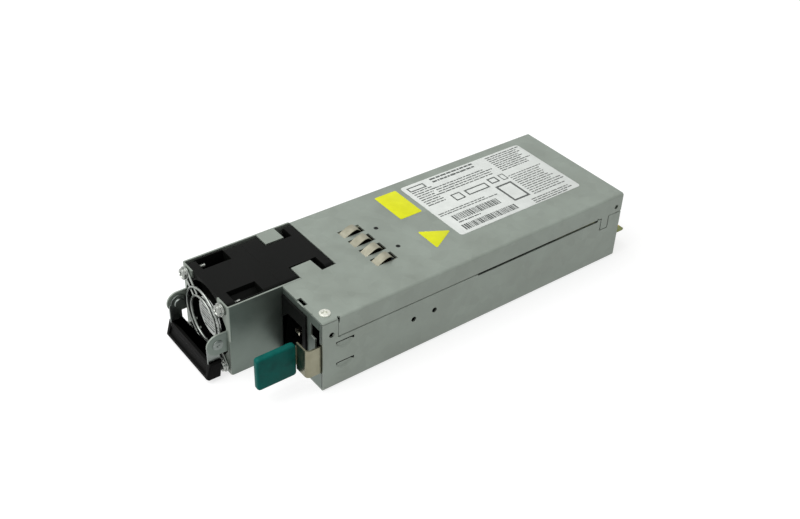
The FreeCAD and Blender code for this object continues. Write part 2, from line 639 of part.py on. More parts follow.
def make_impeller(front):
    """Hub cup, closed towards the inlet end, with its blades moulded on."""
    y0 = fan_front(front)
    face = y0 + 0.9
    count = FRONT_BLADE_COUNT if front else REAR_BLADE_COUNT
    sweep = BLADE_SWEEP if front else -BLADE_SWEEP
    cup = fan_rod(HUB_RADIUS, face, face + 21.0)
    hollow = fan_rod(HUB_RADIUS - HUB_WALL, face + 1.4, face + 22, sides=24)
    boss = fan_rod(SHAFT_RADIUS * 2.2, face + 1.0, face + 4.4, sides=12)
    tip = FAN_BORE / 2 - BLADE_TIP_GAP
    profile = blade_profile(y0 + 3.0, y0 + 20.0, sweep)
    blade = strip("z", profile, FAN_Z + HUB_RADIUS - HUB_WALL / 2, FAN_Z + tip + 1, BLADE_THICK)
    blade = blade.common(fan_rod(tip, face, face + 22, sides=32))
    blades = [around_fan(blade, 360.0 * i / count) for i in range(count)]
    body = join([cup] + blades).cut(hollow).fuse(boss)
    return body.cut(fan_rod(SHAFT_RADIUS, face + 0.6, face + 30))


def make_rotor_magnet(front):
    """Steel yoke and ring magnet inside the hub cup."""
    y0 = fan_front(front) + 8.0
    ring = fan_rod(HUB_RADIUS - HUB_WALL, y0, y0 + 12.0, sides=24)
    return ring.cut(fan_rod(HUB_RADIUS - HUB_WALL - 1.5, y0 - 1, y0 + 13, sides=24))


def make_fan_shaft(front):
    y0 = fan_front(front)
    return fan_rod(SHAFT_RADIUS, y0 + 1.5, y0 + 23.6)


SCREW_HEAD = 2.8
WASHER = 0.5
HEAD_HEIGHT = 1.9


def make_fan_screws():
    """Pan head screws with washers over the guard's loops, through the cage into the fan."""
    seat = CAGE_FRONT - WIRE
    screws = []
    for place in fan_screw_places():
        shank = rod("y", place, FAN_SCREW_RADIUS, seat - 0.6, CAGE_FRONT + 9.0, sides=6)
        washer = rod("y", place, SCREW_HEAD + 0.5, seat - WASHER, seat, sides=18)
        head = rod("y", place, SCREW_HEAD - 0.3, seat - WASHER - HEAD_HEIGHT, seat - WASHER, sides=18)
        screws.append(join([shank, washer, head]))
    return screws


def make_finger_guard():
    """Two wire rings welded on four hairpin legs that loop round the fan screws."""
    leg_y = CAGE_FRONT - WIRE / 2
    ring_y = leg_y - WIRE * 0.8
    parts = [square_ring((FAN_X, ring_y, FAN_Z), size, WIRE)
             for size in (GUARD_OUTER, GUARD_INNER)]
    far = FAN_PITCH / math.sqrt(2)
    near = GUARD_INNER - WIRE / 2
    bars = [block(x - WIRE / 2, x + WIRE / 2, leg_y - WIRE / 2, leg_y + WIRE / 2,
                  FAN_Z + near, FAN_Z + far)
            for x in (FAN_X - GUARD_LOOP, FAN_X + GUARD_LOOP)]
    loop = square_ring((FAN_X, leg_y, FAN_Z + far), GUARD_LOOP, WIRE, sides=16)
    reach = GUARD_LOOP + WIRE
    loop = loop.common(block(FAN_X - reach, FAN_X + reach, leg_y - WIRE, leg_y + WIRE,
                             FAN_Z + far, FAN_Z + far + reach))
    leg = join(bars + [loop])
    return join(parts + [around_fan(leg, angle) for angle in (45, 135, 225, 315)])


# --- handle --------------------------------------------------------------------------
GRIP_LEAN = 2.2              # the grip's front leans back by this much
GRIP_FRONT = 7.0             # foot of its front face, in front of the pivot
GRIP_BAR = 3.7
SLEEVE_BACK = 1.0            # how far the sleeves reach behind the pivot
GRIP_SIDE = 0.75             # grip ends inside the cage walls
ARM_AHEAD = 2.0              # the arms' middle line in front of the pivot


def handle_arm():
    """The left arm of the bail: an eye on the pivot and a strip down into the grip."""
    x0 = LUG_LEFT + SHEET + 0.15
    x1 = x0 + ARM_THICK
    middle = PIVOT_Y - ARM_AHEAD
    eye = rod("x", (PIVOT_Y, PIVOT_Z), ARM_WIDTH / 2 + 1.2, x0, x1)
    arm = block(x0, x1, middle - ARM_WIDTH / 2, middle + ARM_WIDTH / 2, GRIP_FLOOR + 2, PIVOT_Z)
    hole = rod("x", (PIVOT_Y, PIVOT_Z), PIVOT_RADIUS + RUNNING_GAP, x0 - 1, x1 + 1)
    return eye.fuse(arm).cut(hole)


def make_bail():
    """Steel strip bent to a U, with its web inside the grip's bar."""
    x0 = LUG_LEFT + SHEET + 0.15
    x1 = 2 * FAN_X - x0
    middle = PIVOT_Y - ARM_AHEAD
    web = block(x0, x1, middle - ARM_WIDTH / 2, middle - ARM_WIDTH / 2 + ARM_THICK,
                GRIP_FLOOR + 2, GRIP_FLOOR + GRIP_HEIGHT - 2)
    return join([handle_arm(), mirrored(handle_arm(), FAN_X), web])


def make_grip(bail):
    """Moulded grip: a bar with a scooped front and two sleeves over the bail's arms."""
    x0, x1 = LEFT + GRIP_SIDE, CAGE_RIGHT - GRIP_SIDE
    top = GRIP_FLOOR + GRIP_HEIGHT
    foot = PIVOT_Y - GRIP_FRONT
    back = foot + GRIP_LEAN + SLEEVE_BACK + 5.0
    side = [(foot, GRIP_FLOOR + 1.0), (foot + 1.0, GRIP_FLOOR), (back - 1.2, GRIP_FLOOR),
            (back, top), (foot + GRIP_LEAN, top)]
    solid = prism("x", side, x0, x1)
    bar_back = foot + GRIP_BAR
    pocket = block(x0 + GRIP_WALL, x1 - GRIP_WALL, bar_back, back + 1, GRIP_FLOOR - 1, top + 1)
    scoop_side = [(foot - 1.0, GRIP_FLOOR + 2.2), (foot + 1.2, GRIP_FLOOR + 2.2),
                  (foot + GRIP_LEAN + 0.3, top - 1.6), (foot - 1.0, top - 1.6)]
    scoop = prism("x", scoop_side, x0 + 2.4, x1 - 2.4)
    body = round_edges(solid, 0.9, lambda m, w: abs(m.x - FAN_X) > (x1 - x0) / 2 - 0.01)
    return cut(body, [pocket, scoop, bail])


def make_handle_rivets():
    """Shouldered rivets through the lugs: the bail's arms turn on them."""
    x0 = LUG_LEFT
    arm_end = LUG_LEFT + SHEET + 0.15 + ARM_THICK
    shank = rod("x", (PIVOT_Y, PIVOT_Z), PIVOT_RADIUS, x0, arm_end + 0.15)
    outer = rod("x", (PIVOT_Y, PIVOT_Z), 2.6, x0 - 0.5, x0, sides=24)
    inner = rod("x", (PIVOT_Y, PIVOT_Z), 2.6, arm_end + 0.15, arm_end + 0.85, sides=12)
    rivet = join([shank, outer, inner])
    return [rivet, mirrored(rivet, FAN_X)]


# --- latch ---------------------------------------------------------------------------
LATCH_SIDE = 0.5             # strip to the inside of the case wall


def make_latch_spring():
    """Spring steel strip: a tail hung on the wall's pressed tabs, a leg, a cross part."""
    x1 = RIGHT - SHEET - LATCH_SIDE
    x0 = x1 - LATCH_THICK
    front = -LATCH_REACH
    z0, z1 = LATCH_FLOOR, LATCH_FLOOR + LATCH_HEIGHT
    end = x1 - LATCH_CROSS
    outer = block(end, x1, front, LATCH_TAIL, z0, z1)
    outer = round_edges(outer, 2.0, lambda m, w: along("z")(m, w) and m.x > x1 - 0.01
                        and m.y < front + 0.01)
    inner = block(end - 1, x0, front + LATCH_THICK, LATCH_TAIL + 1, z0 - 1, z1 + 1)
    inner = round_edges(inner, 2.0 - LATCH_THICK, lambda m, w: along("z")(m, w)
                        and m.x > x0 - 0.01 and m.y < 0)
    tang = block(end - LATCH_THICK, end + 0.01, front - 14, front + LATCH_THICK, z0 + 2.4, z1 - 2.4)
    strip_body = join([outer.cut(inner), tang])
    windows = []
    for top in DIMPLE_TOPS:
        half = DIMPLE_CHORD / 2 + 0.9
        windows.append(block(x0 - 1, x1 + 1, DIMPLE_Y - half, DIMPLE_Y + half,
                             top - DIMPLE_RISE - 0.8, top + 0.9))
    return cut(strip_body, windows)


def make_latch_tab(spring):
    """Moulded thumb tab over the strip's forward tang."""
    x1 = RIGHT - SHEET - LATCH_SIDE - LATCH_CROSS + 0.6
    x0 = x1 - TAB_THICK
    y1 = -LATCH_REACH - 0.1
    y0 = y1 - TAB_LENGTH
    z0 = LATCH_FLOOR + LATCH_HEIGHT / 2 - TAB_HEIGHT / 2 - 2.0
    tab = block(x0, x1, y0, y1, z0, z0 + TAB_HEIGHT)
    tab = round_edges(tab, 1.6, lambda m, w: along("x")(m, w) and m.y < y0 + 0.01)
    tab = tab.makeChamfer(0.4, [e for e in tab.Edges if e.BoundBox.XMin > x1 - 0.01
                                or e.BoundBox.XMax < x0 + 0.01])
    return tab.cut(spring)


# --- inlet ---------------------------------------------------------------------------
def socket_outline(grow):
    """Six-sided outline of the inlet's cavity, chamfered on the earth pin's side."""
    w, h, c = SOCKET_WIDTH / 2 + grow, SOCKET_HEIGHT / 2 + grow, SOCKET_CHAMFER
    return [(SOCKET_X - w + c, SOCKET_Z - h), (SOCKET_X + w, SOCKET_Z - h),
            (SOCKET_X + w, SOCKET_Z + h), (SOCKET_X - w + c, SOCKET_Z + h),
            (SOCKET_X - w, SOCKET_Z + h - c), (SOCKET_X - w, SOCKET_Z - h + c)]


def pin_places():
    return [(PIN_X, SOCKET_Z + PIN_PITCH / 2), (PIN_X, SOCKET_Z - PIN_PITCH / 2),
            (PIN_X - PIN_OFFSET, SOCKET_Z)]


def pin_block(place, y0, y1):
    x, z = place
    return block(x - PIN_LONG / 2, x + PIN_LONG / 2, y0, y1, z - PIN_THICK / 2, z + PIN_THICK / 2)


FILTER_Y = 23.0              # front of the upright board behind the inlet
PIN_TAIL = 1.4


def pin_tail(place, extra):
    """The square tail of a pin, soldered through the filter board."""
    x, z = place
    half = PIN_TAIL / 2
    return block(x - half, x + half, FILTER_Y - extra, FILTER_Y + BOARD + 1.2 + extra,
                 z - half, z + half)


def make_inlet_housing():
    """Moulded inlet: a face, a deep socket and a blank lamp field above it."""
    x0, x1 = INLET_LEFT + 0.05, INLET_LEFT + INLET_FACE_WIDTH
    top = INLET_FLOOR + INLET_FACE_HEIGHT
    face = block(x0, x1, -0.9, 0, INLET_FLOOR, top)
    face = round_edges(face, 0.5, lambda m, w: m.y < -0.89)
    body = block(x0, x1 - 0.8, 0, SOCKET_DEPTH + 2.5, INLET_FLOOR + 0.8, top - 0.8)
    socket = prism("y", socket_outline(0.0), -2, SOCKET_DEPTH)
    holes = [pin_block(place, SOCKET_DEPTH - 1, SOCKET_DEPTH + 4) for place in pin_places()]
    return cut(join([face, body]), [socket] + holes)


def make_inlet_pins():
    """Earth, line and neutral pins, each one bar from its tip to the filter board."""
    pins = []
    for place in pin_places():
        bar = pin_block(place, SOCKET_DEPTH - PIN_REACH, FILTER_Y)
        bar = round_edges(bar, 0.7, lambda m, w: m.y < SOCKET_DEPTH - PIN_REACH + 0.01)
        pins.append(bar.fuse(pin_tail(place, 0.0)).removeSplitter())
    return pins


def make_filter_board():
    """Upright board behind the inlet."""
    board = block(CAGE_RIGHT + 1.0, BOARD_RIGHT, FILTER_Y, FILTER_Y + BOARD, SHEET + 0.4,
                  COVER_UNDER - HEAD_GAP)
    return cut(board, [pin_tail(place, 1.0) for place in pin_places()])


def make_line_fuse():
    """Ceramic fuse standing on the filter board, with its end caps."""
    x, z = BOARD_RIGHT - 4.0, COVER_UNDER - 12.0
    y0 = FILTER_Y - 2.6
    return block(x - 2.5, x + 2.5, y0 - 2.6, FILTER_Y, z - 5, z + 5)


# --- boards --------------------------------------------------------------------------
BOARD_SCREW = 1.3
STANDOFF_RADIUS = 2.6


def standoff_places():
    inset = 5.0
    xs = (BOARD_LEFT + inset, BOARD_RIGHT - inset)
    ys = (BOARD_FRONT + inset, BOARD_REAR - inset)
    return [(x, y) for x in xs for y in ys]


def card_standoff_places():
    y = BODY_LENGTH - 10.0
    return [(CARD_X0 + 5.0, y), (CARD_X1 - 5.0, y)]


def screw_shank(place, start, end):
    """The shank of a board screw, or the hole that it fills."""
    return rod("z", place, BOARD_SCREW, start, end, sides=6)


def make_standoffs():
    """Threaded hexagonal standoffs riveted to the tray."""
    posts = []
    for x, y in standoff_places():
        posts.append(rod("z", (x, y), STANDOFF_RADIUS, SHEET, SHEET + STANDOFF, sides=6))
    for x, y in card_standoff_places():
        posts.append(rod("z", (x, y), STANDOFF_RADIUS, SHEET, CARD_FLOOR, sides=6))
    places = standoff_places() + card_standoff_places()
    return [post.cut(screw_shank(place, 0, CARD_FLOOR + 1)) for post, place in zip(posts, places)]


def make_board_screws():
    screws = []
    seats = [(place, BOARD_TOP) for place in standoff_places()]
    seats += [(place, CARD_FLOOR + BOARD) for place in card_standoff_places()]
    for place, top in seats:
        shank = screw_shank(place, SHEET + 1.0, top + 0.4)
        head = rod("z", place, BOARD_SCREW * 2, top, top + 1.6, sides=12)
        screws.append(shank.fuse(head).removeSplitter())
    return screws


def make_main_board():
    outline = [(BOARD_LEFT, BOARD_FRONT), (BOARD_RIGHT, BOARD_FRONT), (BOARD_RIGHT, BOARD_REAR),
               (BOARD_LEFT, BOARD_REAR)]
    board = prism("z", outline, SHEET + STANDOFF, BOARD_TOP)
    return cut(board, [screw_shank(place, 0, BOARD_TOP + 1) for place in standoff_places()])


def make_insulator():
    """Plastic film between the main board and the tray."""
    film = block(BOARD_LEFT, BOARD_RIGHT, BOARD_FRONT, BOARD_REAR, SHEET, SHEET + 0.3)
    half = STANDOFF_RADIUS + 0.4
    notches = [block(x - half, x + half, y - half, y + half, 0, 3) for x, y in standoff_places()]
    return cut(film, notches)


def make_output_card():
    """The card-edge board: chamfered at its mating end, screwed to two tall standoffs."""
    y0 = CARD_REAR - CARD_LENGTH
    card = block(CARD_X0, CARD_X1, y0, CARD_REAR, CARD_FLOOR, CARD_FLOOR + BOARD)
    bevel = 0.5
    card = card.makeChamfer(bevel, [e for e in card.Edges if e.BoundBox.YMin > CARD_REAR - 0.01
                                    and e.BoundBox.XLength > 1])
    key = block(CARD_X0 + CARD_WIDTH * 0.62, CARD_X0 + CARD_WIDTH * 0.62 + 1.8,
                CARD_REAR - 7, CARD_REAR + 1, CARD_FLOOR - 1, CARD_FLOOR + BOARD + 1)
    holes = [screw_shank(place, 0, CARD_FLOOR + 5) for place in card_standoff_places()]
    return cut(card, [key] + holes)


def make_contacts():
    """Gold contact pads on both faces of the card edge."""
    pads = []
    first = CARD_X0 + (CARD_WIDTH - CONTACT_PITCH * (CONTACT_COUNT - 1)) / 2
    key_x = CARD_X0 + CARD_WIDTH * 0.62 + 0.9
    for i in range(CONTACT_COUNT):
        x = first + CONTACT_PITCH * i
        if abs(x - key_x) < 1.7:
            continue
        for z in (CARD_FLOOR - 0.1, CARD_FLOOR + BOARD):
            pads.append(block(x - 0.65, x + 0.65, CARD_REAR - 8.5, CARD_REAR - 0.8, z, z + 0.1))
    return pads


def make_busbars():
    """Copper bars that carry the output from the main board up to the card."""
    y0 = CARD_REAR - CARD_LENGTH
    bars = []
    for i in range(4):
        x = CARD_X0 + 1.0 + 11.0 * (i + 0.5)
        bars.append(block(x - 4.5, x + 4.5, y0 + 1.0, y0 + 2.5, BOARD_TOP, CARD_FLOOR))
    return bars


# --- parts on the main board ----------------------------------------------------------
def wound_ring(axis, centre, radius, wire, start):
    """A toroidal core under its winding, in sixteen flat bundles of turns."""
    outer = rod(axis, centre, radius + wire, start, start + 2 * wire, sides=16)
    return outer.cut(rod(axis, centre, radius - wire, start - 1, start + 2 * wire + 1, sides=16))


CHOKE_Y = BOARD_FRONT + TOROID_WIRE + 9.0
CAP_ROW = CHOKE_Y + TOROID_WIRE + PART_GAP + CAP_RADIUS
CAP_X = BOARD_RIGHT - CAP_RADIUS - 1.5
SINK_X = BOARD_LEFT + 4.6
SINK_FRONT = BOARD_FRONT + 9.0
CORE_Y = SINK_FRONT + SINK_LENGTH + PART_GAP
BOOST_X = (SINK_X + SINK_THICK + TRANSISTOR_THICK + CAP_X - CAP_RADIUS) / 2
BOOST_RADIUS = 7.4
BOOST_WIRE = 4.0
FILM_LENGTH = 12.0


def make_filter_choke():
    """Standing toroidal choke on its plastic base."""
    z = BOARD_TOP + 1.2 + TOROID_RADIUS + TOROID_WIRE
    ring = wound_ring("y", (CAP_X, z), TOROID_RADIUS, TOROID_WIRE, CHOKE_Y - TOROID_WIRE)
    half = TOROID_RADIUS * 0.7
    foot = block(CAP_X - half, CAP_X + half, CHOKE_Y - TOROID_WIRE, CHOKE_Y + TOROID_WIRE,
                 BOARD_TOP, BOARD_TOP + 2.0)
    return ring.fuse(foot).removeSplitter()


def make_film_capacitor():
    """Boxed film capacitor across the line, beside the choke."""
    x1 = CAP_X - TOROID_RADIUS - 2 * TOROID_WIRE - PART_GAP
    y0 = BOARD_FRONT + 3.0
    return block(x1 - FILM_LENGTH, x1, y0, y0 + 8.0, BOARD_TOP, BOARD_TOP + 13.0)


def make_boost_choke():
    """Flat-lying boost choke between the heat sink and the capacitors."""
    return wound_ring("z", (BOOST_X, CHOKE_Y + 16.0), BOOST_RADIUS, BOOST_WIRE, BOARD_TOP)


def make_bulk_capacitors():
    """Two standing high-voltage capacitors in a row behind the choke."""
    cans = []
    for i in range(2):
        y = CAP_ROW + i * (2 * CAP_RADIUS + 0.6)
        can = rod("z", (CAP_X, y), CAP_RADIUS, BOARD_TOP, BOARD_TOP + HEADROOM, sides=24)
        cans.append(can)
    return cans


def core_frame():
    x0 = CAP_X - CAP_RADIUS - PART_GAP - CORE_WIDTH
    return x0, x0 + CORE_WIDTH, CORE_Y, CORE_Y + CORE_LENGTH


def make_transformer_core():
    """Ferrite core: two E halves closed round the winding."""
    x0, x1, y0, y1 = core_frame()
    height = HEADROOM - 3.0
    z0 = BOARD_TOP + 0.6
    outer = block(x0, x1, y0, y1, z0, z0 + height)
    window = block(x0 + 4.5, x1 - 4.5, y0 - 1, y1 + 1, z0 + 5.0, z0 + height - 5.0)
    post = rod("z", ((x0 + x1) / 2, (y0 + y1) / 2), 5.0, z0 + 4, z0 + height - 4, sides=12)
    return outer.cut(window).fuse(post).removeSplitter()


def make_transformer_winding():
    """Bobbin and winding round the core's middle post."""
    x0, x1, y0, y1 = core_frame()
    height = HEADROOM - 3.0
    z0 = BOARD_TOP + 0.6
    middle = ((x0 + x1) / 2, (y0 + y1) / 2)
    coil = rod("z", middle, CORE_WIDTH / 2 - 4.9, z0 + 5.1, z0 + height - 5.1, sides=16)
    return coil.cut(rod("z", middle, 5.2, z0, z0 + height, sides=12))


def make_primary_sink():
    """Upright aluminium heat sink along the left, with three fins."""
    y0, y1 = SINK_FRONT, SINK_FRONT + SINK_LENGTH
    z1 = BOARD_TOP + HEADROOM
    web = block(SINK_X, SINK_X + SINK_THICK, y0, y1, BOARD_TOP, z1)
    fins = [block(SINK_X - 4.4, SINK_X + 0.5, y0, y1, z, z + 1.4)
            for z in (z1 - 1.4, z1 - 8.0, z1 - 14.6)]
    return join([web] + fins)


def make_power_transistors():
    """Flat-pack transistors on the sink's inner face, with legs to the board."""
    packs = []
    z0 = BOARD_TOP + HEADROOM - 22.0
    for i in range(3):
        y = SINK_FRONT + SINK_LENGTH / 2 + TRANSISTOR_PITCH * (i - 1)
        x = SINK_X + SINK_THICK
        pack = block(x, x + TRANSISTOR_THICK, y - 5.2, y + 5.2, z0, z0 + 15.0)
        legs = [block(x + 2.0, x + 2.8, y + k * 3.2 - 0.5, y + k * 3.2 + 0.5, BOARD_TOP, z0 + 1)
                for k in (-1, 0, 1)]
        packs.append(join([pack] + legs))
    return packs


SECOND_SINK_Y = CORE_Y + CORE_LENGTH + PART_GAP
SECOND_SINK_DEPTH = 13.0


def make_secondary_sink():
    """Low comb of aluminium fins over the synchronous rectifiers."""
    x0, x1 = BOARD_LEFT + 12.0, BOARD_RIGHT - 26.0
    y0, y1 = SECOND_SINK_Y, SECOND_SINK_Y + SECOND_SINK_DEPTH
    base = block(x0, x1, y0, y1, BOARD_TOP + 2.0, BOARD_TOP + 4.5)
    count = 6
    pitch = (x1 - x0 - 1.4) / (count - 1)
    fins = [block(x0 + pitch * i, x0 + pitch * i + 1.4, y0, y1, BOARD_TOP + 4.0,
                  BOARD_TOP + HEADROOM - 6.0) for i in range(count)]
    return join([base] + fins)


def make_rectifiers():
    """Row of surface-mount rectifier packages under the secondary heat sink."""
    x0, x1 = BOARD_LEFT + 14.0, BOARD_RIGHT - 28.0
    count = 4
    packs = []
    for i in range(count):
        x = x0 + (x1 - x0) * (i + 0.5) / count
        packs.append(block(x - 2.6, x + 2.6, SECOND_SINK_Y + 3.0, SECOND_SINK_Y + 10.0,
                           BOARD_TOP, BOARD_TOP + 2.0))
    return packs


OUTPUT_CAP_RADIUS = 4.0
OUTPUT_CAP_Y = SECOND_SINK_Y + SECOND_SINK_DEPTH + PART_GAP + OUTPUT_CAP_RADIUS


def make_output_capacitors():
    """Row of polymer capacitors before the busbars."""
    cans = []
    for i in range(5):
        x = CARD_X0 - 2.0 + 9.2 * i
        can = rod("z", (x, OUTPUT_CAP_Y), OUTPUT_CAP_RADIUS, BOARD_TOP, BOARD_TOP + 13.0, sides=12)
        cans.append(can)
    return cans


def make_control_board():
    """Upright daughter board with the controller, beside the capacitors."""
    x0 = BOARD_RIGHT - 12.0
    y0 = CORE_Y + CORE_LENGTH + PART_GAP - 2.0
    return block(x0, x0 + 1.2, y0, y0 + 24.0, BOARD_TOP, BOARD_TOP + HEADROOM - 4.0)


def make_control_chips():
    x0 = BOARD_RIGHT - 12.0 + 1.2
    y0 = CORE_Y + CORE_LENGTH + PART_GAP - 2.0
    z0 = BOARD_TOP + 6.0
    return [block(x0, x0 + 1.2, y0 + 3.0, y0 + 11.0, z0, z0 + 8.0),
            block(x0, x0 + 1.4, y0 + 14.0, y0 + 19.0, z0 + 2.0, z0 + 9.0)]


# --- build ---------------------------------------------------------------------------
def build():
    write("chassis_tray", make_tray())
    write("top_cover", make_cover())
    write("rear_panel", make_rear_panel())
    write("inlet_plate", make_inlet_plate())
    write("cover_screw", make_cover_screw())
    write("grounding_clip", make_grounding_clip())
    write("clip_rivets", make_clip_rivets())
    for name, front in (("front", True), ("rear", False)):
        write(name + "_fan_frame", make_fan_frame(front))
        write(name + "_fan_stator", make_stator(front))
        write(name + "_impeller", make_impeller(front))
        write(name + "_fan_magnet", make_rotor_magnet(front))
        write(name + "_fan_shaft", make_fan_shaft(front))
    write("fan_bearings", make_bearings())
    write("fan_screws", make_fan_screws())
    write("finger_guard", make_finger_guard())
    bail = make_bail()
    write("handle_bail", bail)
    write("handle_grip", make_grip(bail))
    write("handle_rivets", make_handle_rivets())
    spring = make_latch_spring()
    write("latch_spring", spring)
    write("latch_tab", make_latch_tab(spring))
    write("inlet_housing", make_inlet_housing())
    write("inlet_pins", make_inlet_pins())
    write("filter_board", make_filter_board())
    write("line_fuse", make_line_fuse())
    write("insulating_film", make_insulator())
    write("board_standoffs", make_standoffs())
    write("board_screws", make_board_screws())
    write("main_board", make_main_board())
    write("output_card", make_output_card())
    write("card_contacts", make_contacts())
    write("output_busbars", make_busbars())
    write("filter_choke", make_filter_choke())
    write("film_capacitor", make_film_capacitor())
    write("boost_choke", make_boost_choke())
    write("bulk_capacitors", make_bulk_capacitors())
    write("primary_heat_sink", make_primary_sink())
    write("power_transistors", make_power_transistors())
    write("transformer_core", make_transformer_core())
    write("transformer_winding", make_transformer_winding())
    write("secondary_heat_sink", make_secondary_sink())
    write("rectifiers", make_rectifiers())
    write("output_capacitors", make_output_capacitors())
    write("control_board", make_control_board())
    write("control_chips", make_control_chips())


build()
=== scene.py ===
"""Looks of a hot swap server power supply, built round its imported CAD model.

Sections follow the object as it is put together: case, boards, inlet, power parts, output
card, fans, guard, handle, latch, grounding clip, cover screw, labels, and last the table.
Lengths are millimetres, turned to metres where a mesh or a node takes them.
"""
import math

import bmesh
import bpy
import numpy as np
from mathutils import Matrix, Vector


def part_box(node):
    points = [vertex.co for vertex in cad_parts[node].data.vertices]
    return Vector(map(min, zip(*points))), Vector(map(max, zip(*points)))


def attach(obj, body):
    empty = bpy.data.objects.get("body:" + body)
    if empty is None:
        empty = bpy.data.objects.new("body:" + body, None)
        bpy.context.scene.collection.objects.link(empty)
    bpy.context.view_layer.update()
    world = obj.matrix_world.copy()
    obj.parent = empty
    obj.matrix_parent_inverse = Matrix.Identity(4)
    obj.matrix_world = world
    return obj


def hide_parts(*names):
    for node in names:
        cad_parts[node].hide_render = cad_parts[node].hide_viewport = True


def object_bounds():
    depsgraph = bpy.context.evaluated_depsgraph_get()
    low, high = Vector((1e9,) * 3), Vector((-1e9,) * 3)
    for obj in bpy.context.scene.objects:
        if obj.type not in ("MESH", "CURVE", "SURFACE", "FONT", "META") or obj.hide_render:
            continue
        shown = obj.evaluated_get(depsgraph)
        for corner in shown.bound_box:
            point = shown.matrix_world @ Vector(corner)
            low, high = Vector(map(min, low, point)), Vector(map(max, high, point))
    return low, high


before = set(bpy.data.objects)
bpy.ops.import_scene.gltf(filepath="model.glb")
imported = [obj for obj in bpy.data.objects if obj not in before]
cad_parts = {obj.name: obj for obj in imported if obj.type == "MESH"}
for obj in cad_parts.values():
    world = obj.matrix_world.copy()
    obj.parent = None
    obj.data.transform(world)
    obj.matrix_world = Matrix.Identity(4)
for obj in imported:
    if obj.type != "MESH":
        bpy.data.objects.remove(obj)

cad_box = [list(corner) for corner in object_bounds()]

# --- Folded case ---------------------------------------------------------------------
# Tray, cover, rear panel and inlet plate are 0.8 mm galvanised steel, punched, folded and
# slid together, and one screw locks the cover to the plate's flange.
MM = 0.001
SPANGLE = 5.0                # width of a zinc crystal
CLOUD = 16.0                 # width of a cloudy patch in the zinc
SPANGLE_SHADE = (0.95, 1.04)  # darkest and lightest crystal, as shares of the zinc's colour
GRIT = 0.5                   # width of the dross in the zinc
GRIT_TALL = 0.004
SHEET_EDGE = 0.2             # burr taken off the punched edges
SHARP = 32                   # degrees between faces, past which an edge isn't shaded smooth
BEVELLED = 35                # degrees between faces, past which an edge is broken


def linear(code):
    """Linear RGBA of an sRGB hex code: c / 12.92 up to 0.04045, ((c + 0.055) / 1.055) ^ 2.4 above."""
    srgb = np.array([int(code[i:i + 2], 16) for i in (0, 2, 4)]) / 255
    return np.append(np.where(srgb <= 0.04045, srgb / 12.92, ((srgb + 0.055) / 1.055) ** 2.4), 1).tolist()


def add(tree, kind, inputs=None, **settings):
    """Adds one shader node; each input takes a value, or the output socket that feeds it."""
    node = tree.nodes.new("ShaderNode" + kind)
    for name, value in settings.items():
        setattr(node, name, value)
    for socket, value in (inputs or {}).items():
        if isinstance(value, bpy.types.NodeSocket):
            tree.links.new(value, node.inputs[socket])
        else:
            node.inputs[socket].default_value = value
    return node


def finish(name, dark, light, grain, rough, metallic=0.0, relief=0.0, along=(1, 1, 1), **fixed):
    """A finish that wanders between two colours and two roughnesses with 3-D noise.

    t = noise(p * along / grain) spread to 0..1, colour = mix(dark, light, t), roughness =
    mix(rough, t) and height = relief * t. Grain and relief are millimetres.
    """
    material = bpy.data.materials.new(name)
    material.use_nodes = True
    tree = material.node_tree
    shader = tree.nodes["Principled BSDF"]
    place = add(tree, "TexCoord").outputs["Object"]
    mapped = add(tree, "Mapping", {"Vector": place, "Scale": along}).outputs[0]
    noise = add(tree, "TexNoise", {"Vector": mapped, "Scale": 1 / (grain * MM), "Detail": 4.0})
    spread = add(tree, "MapRange", {"Value": noise.outputs[0], "From Min": 0.3, "From Max": 0.7})
    t = spread.outputs[0]
    colour = add(tree, "Mix", {0: t, 6: linear(dark), 7: linear(light)}, data_type="RGBA",
                 label="colour")
    tree.links.new(colour.outputs[2], shader.inputs["Base Color"])
    gloss = add(tree, "MapRange", {"Value": t, "To Min": rough[0], "To Max": rough[1]},
                label="gloss")
    tree.links.new(gloss.outputs[0], shader.inputs["Roughness"])
    if relief:
        bump = add(tree, "Bump", {"Height": t, "Distance": relief * MM, "Strength": 1.0})
        tree.links.new(bump.outputs[0], shader.inputs["Normal"])
    shader.inputs["Metallic"].default_value = metallic
    for socket, value in fixed.items():
        shader.inputs[socket.replace("_", " ")].default_value = value
    return material


# Hot dip galvanised sheet: a soft, clouded satin grey, with crystals that shift faintly in
# tone and a grit that breaks up the shine.
galvanised = finish("galvanised_sheet", "878F86", "929B92", CLOUD, (0.36, 0.46), metallic=0.5)
tree = galvanised.node_tree
crystal = add(tree, "TexVoronoi", {"Vector": tree.nodes["Mapping"].outputs[0],
                                   "Scale": 1 / (SPANGLE * MM)})
tone = add(tree, "RGBToBW", {0: crystal.outputs["Color"]})
shade = add(tree, "MapRange", {"Value": tone.outputs[0], "To Min": SPANGLE_SHADE[0],
                               "To Max": SPANGLE_SHADE[1]})
base = next(node for node in tree.nodes if node.label == "colour")
tinted = add(tree, "Mix", {0: 1.0, 6: base.outputs[2], 7: shade.outputs[0]}, data_type="RGBA",
             blend_type="MULTIPLY")
tree.links.new(tinted.outputs[2], tree.nodes["Principled BSDF"].inputs["Base Color"])
grit = add(tree, "TexNoise", {"Vector": tree.nodes["Mapping"].outputs[0],
                              "Scale": 1 / (GRIT * MM)})
dent = add(tree, "Bump", {"Height": grit.outputs[0], "Distance": GRIT_TALL * MM, "Strength": 1.0})
tree.links.new(dent.outputs[0], tree.nodes["Principled BSDF"].inputs["Normal"])


def smooth(mesh, angle=SHARP):
    """Shades a mesh smooth except where its faces meet at more than an angle."""
    mesh.polygons.foreach_set("use_smooth", np.ones(len(mesh.polygons), bool))
    mesh.set_sharp_from_angle(angle=math.radians(angle))


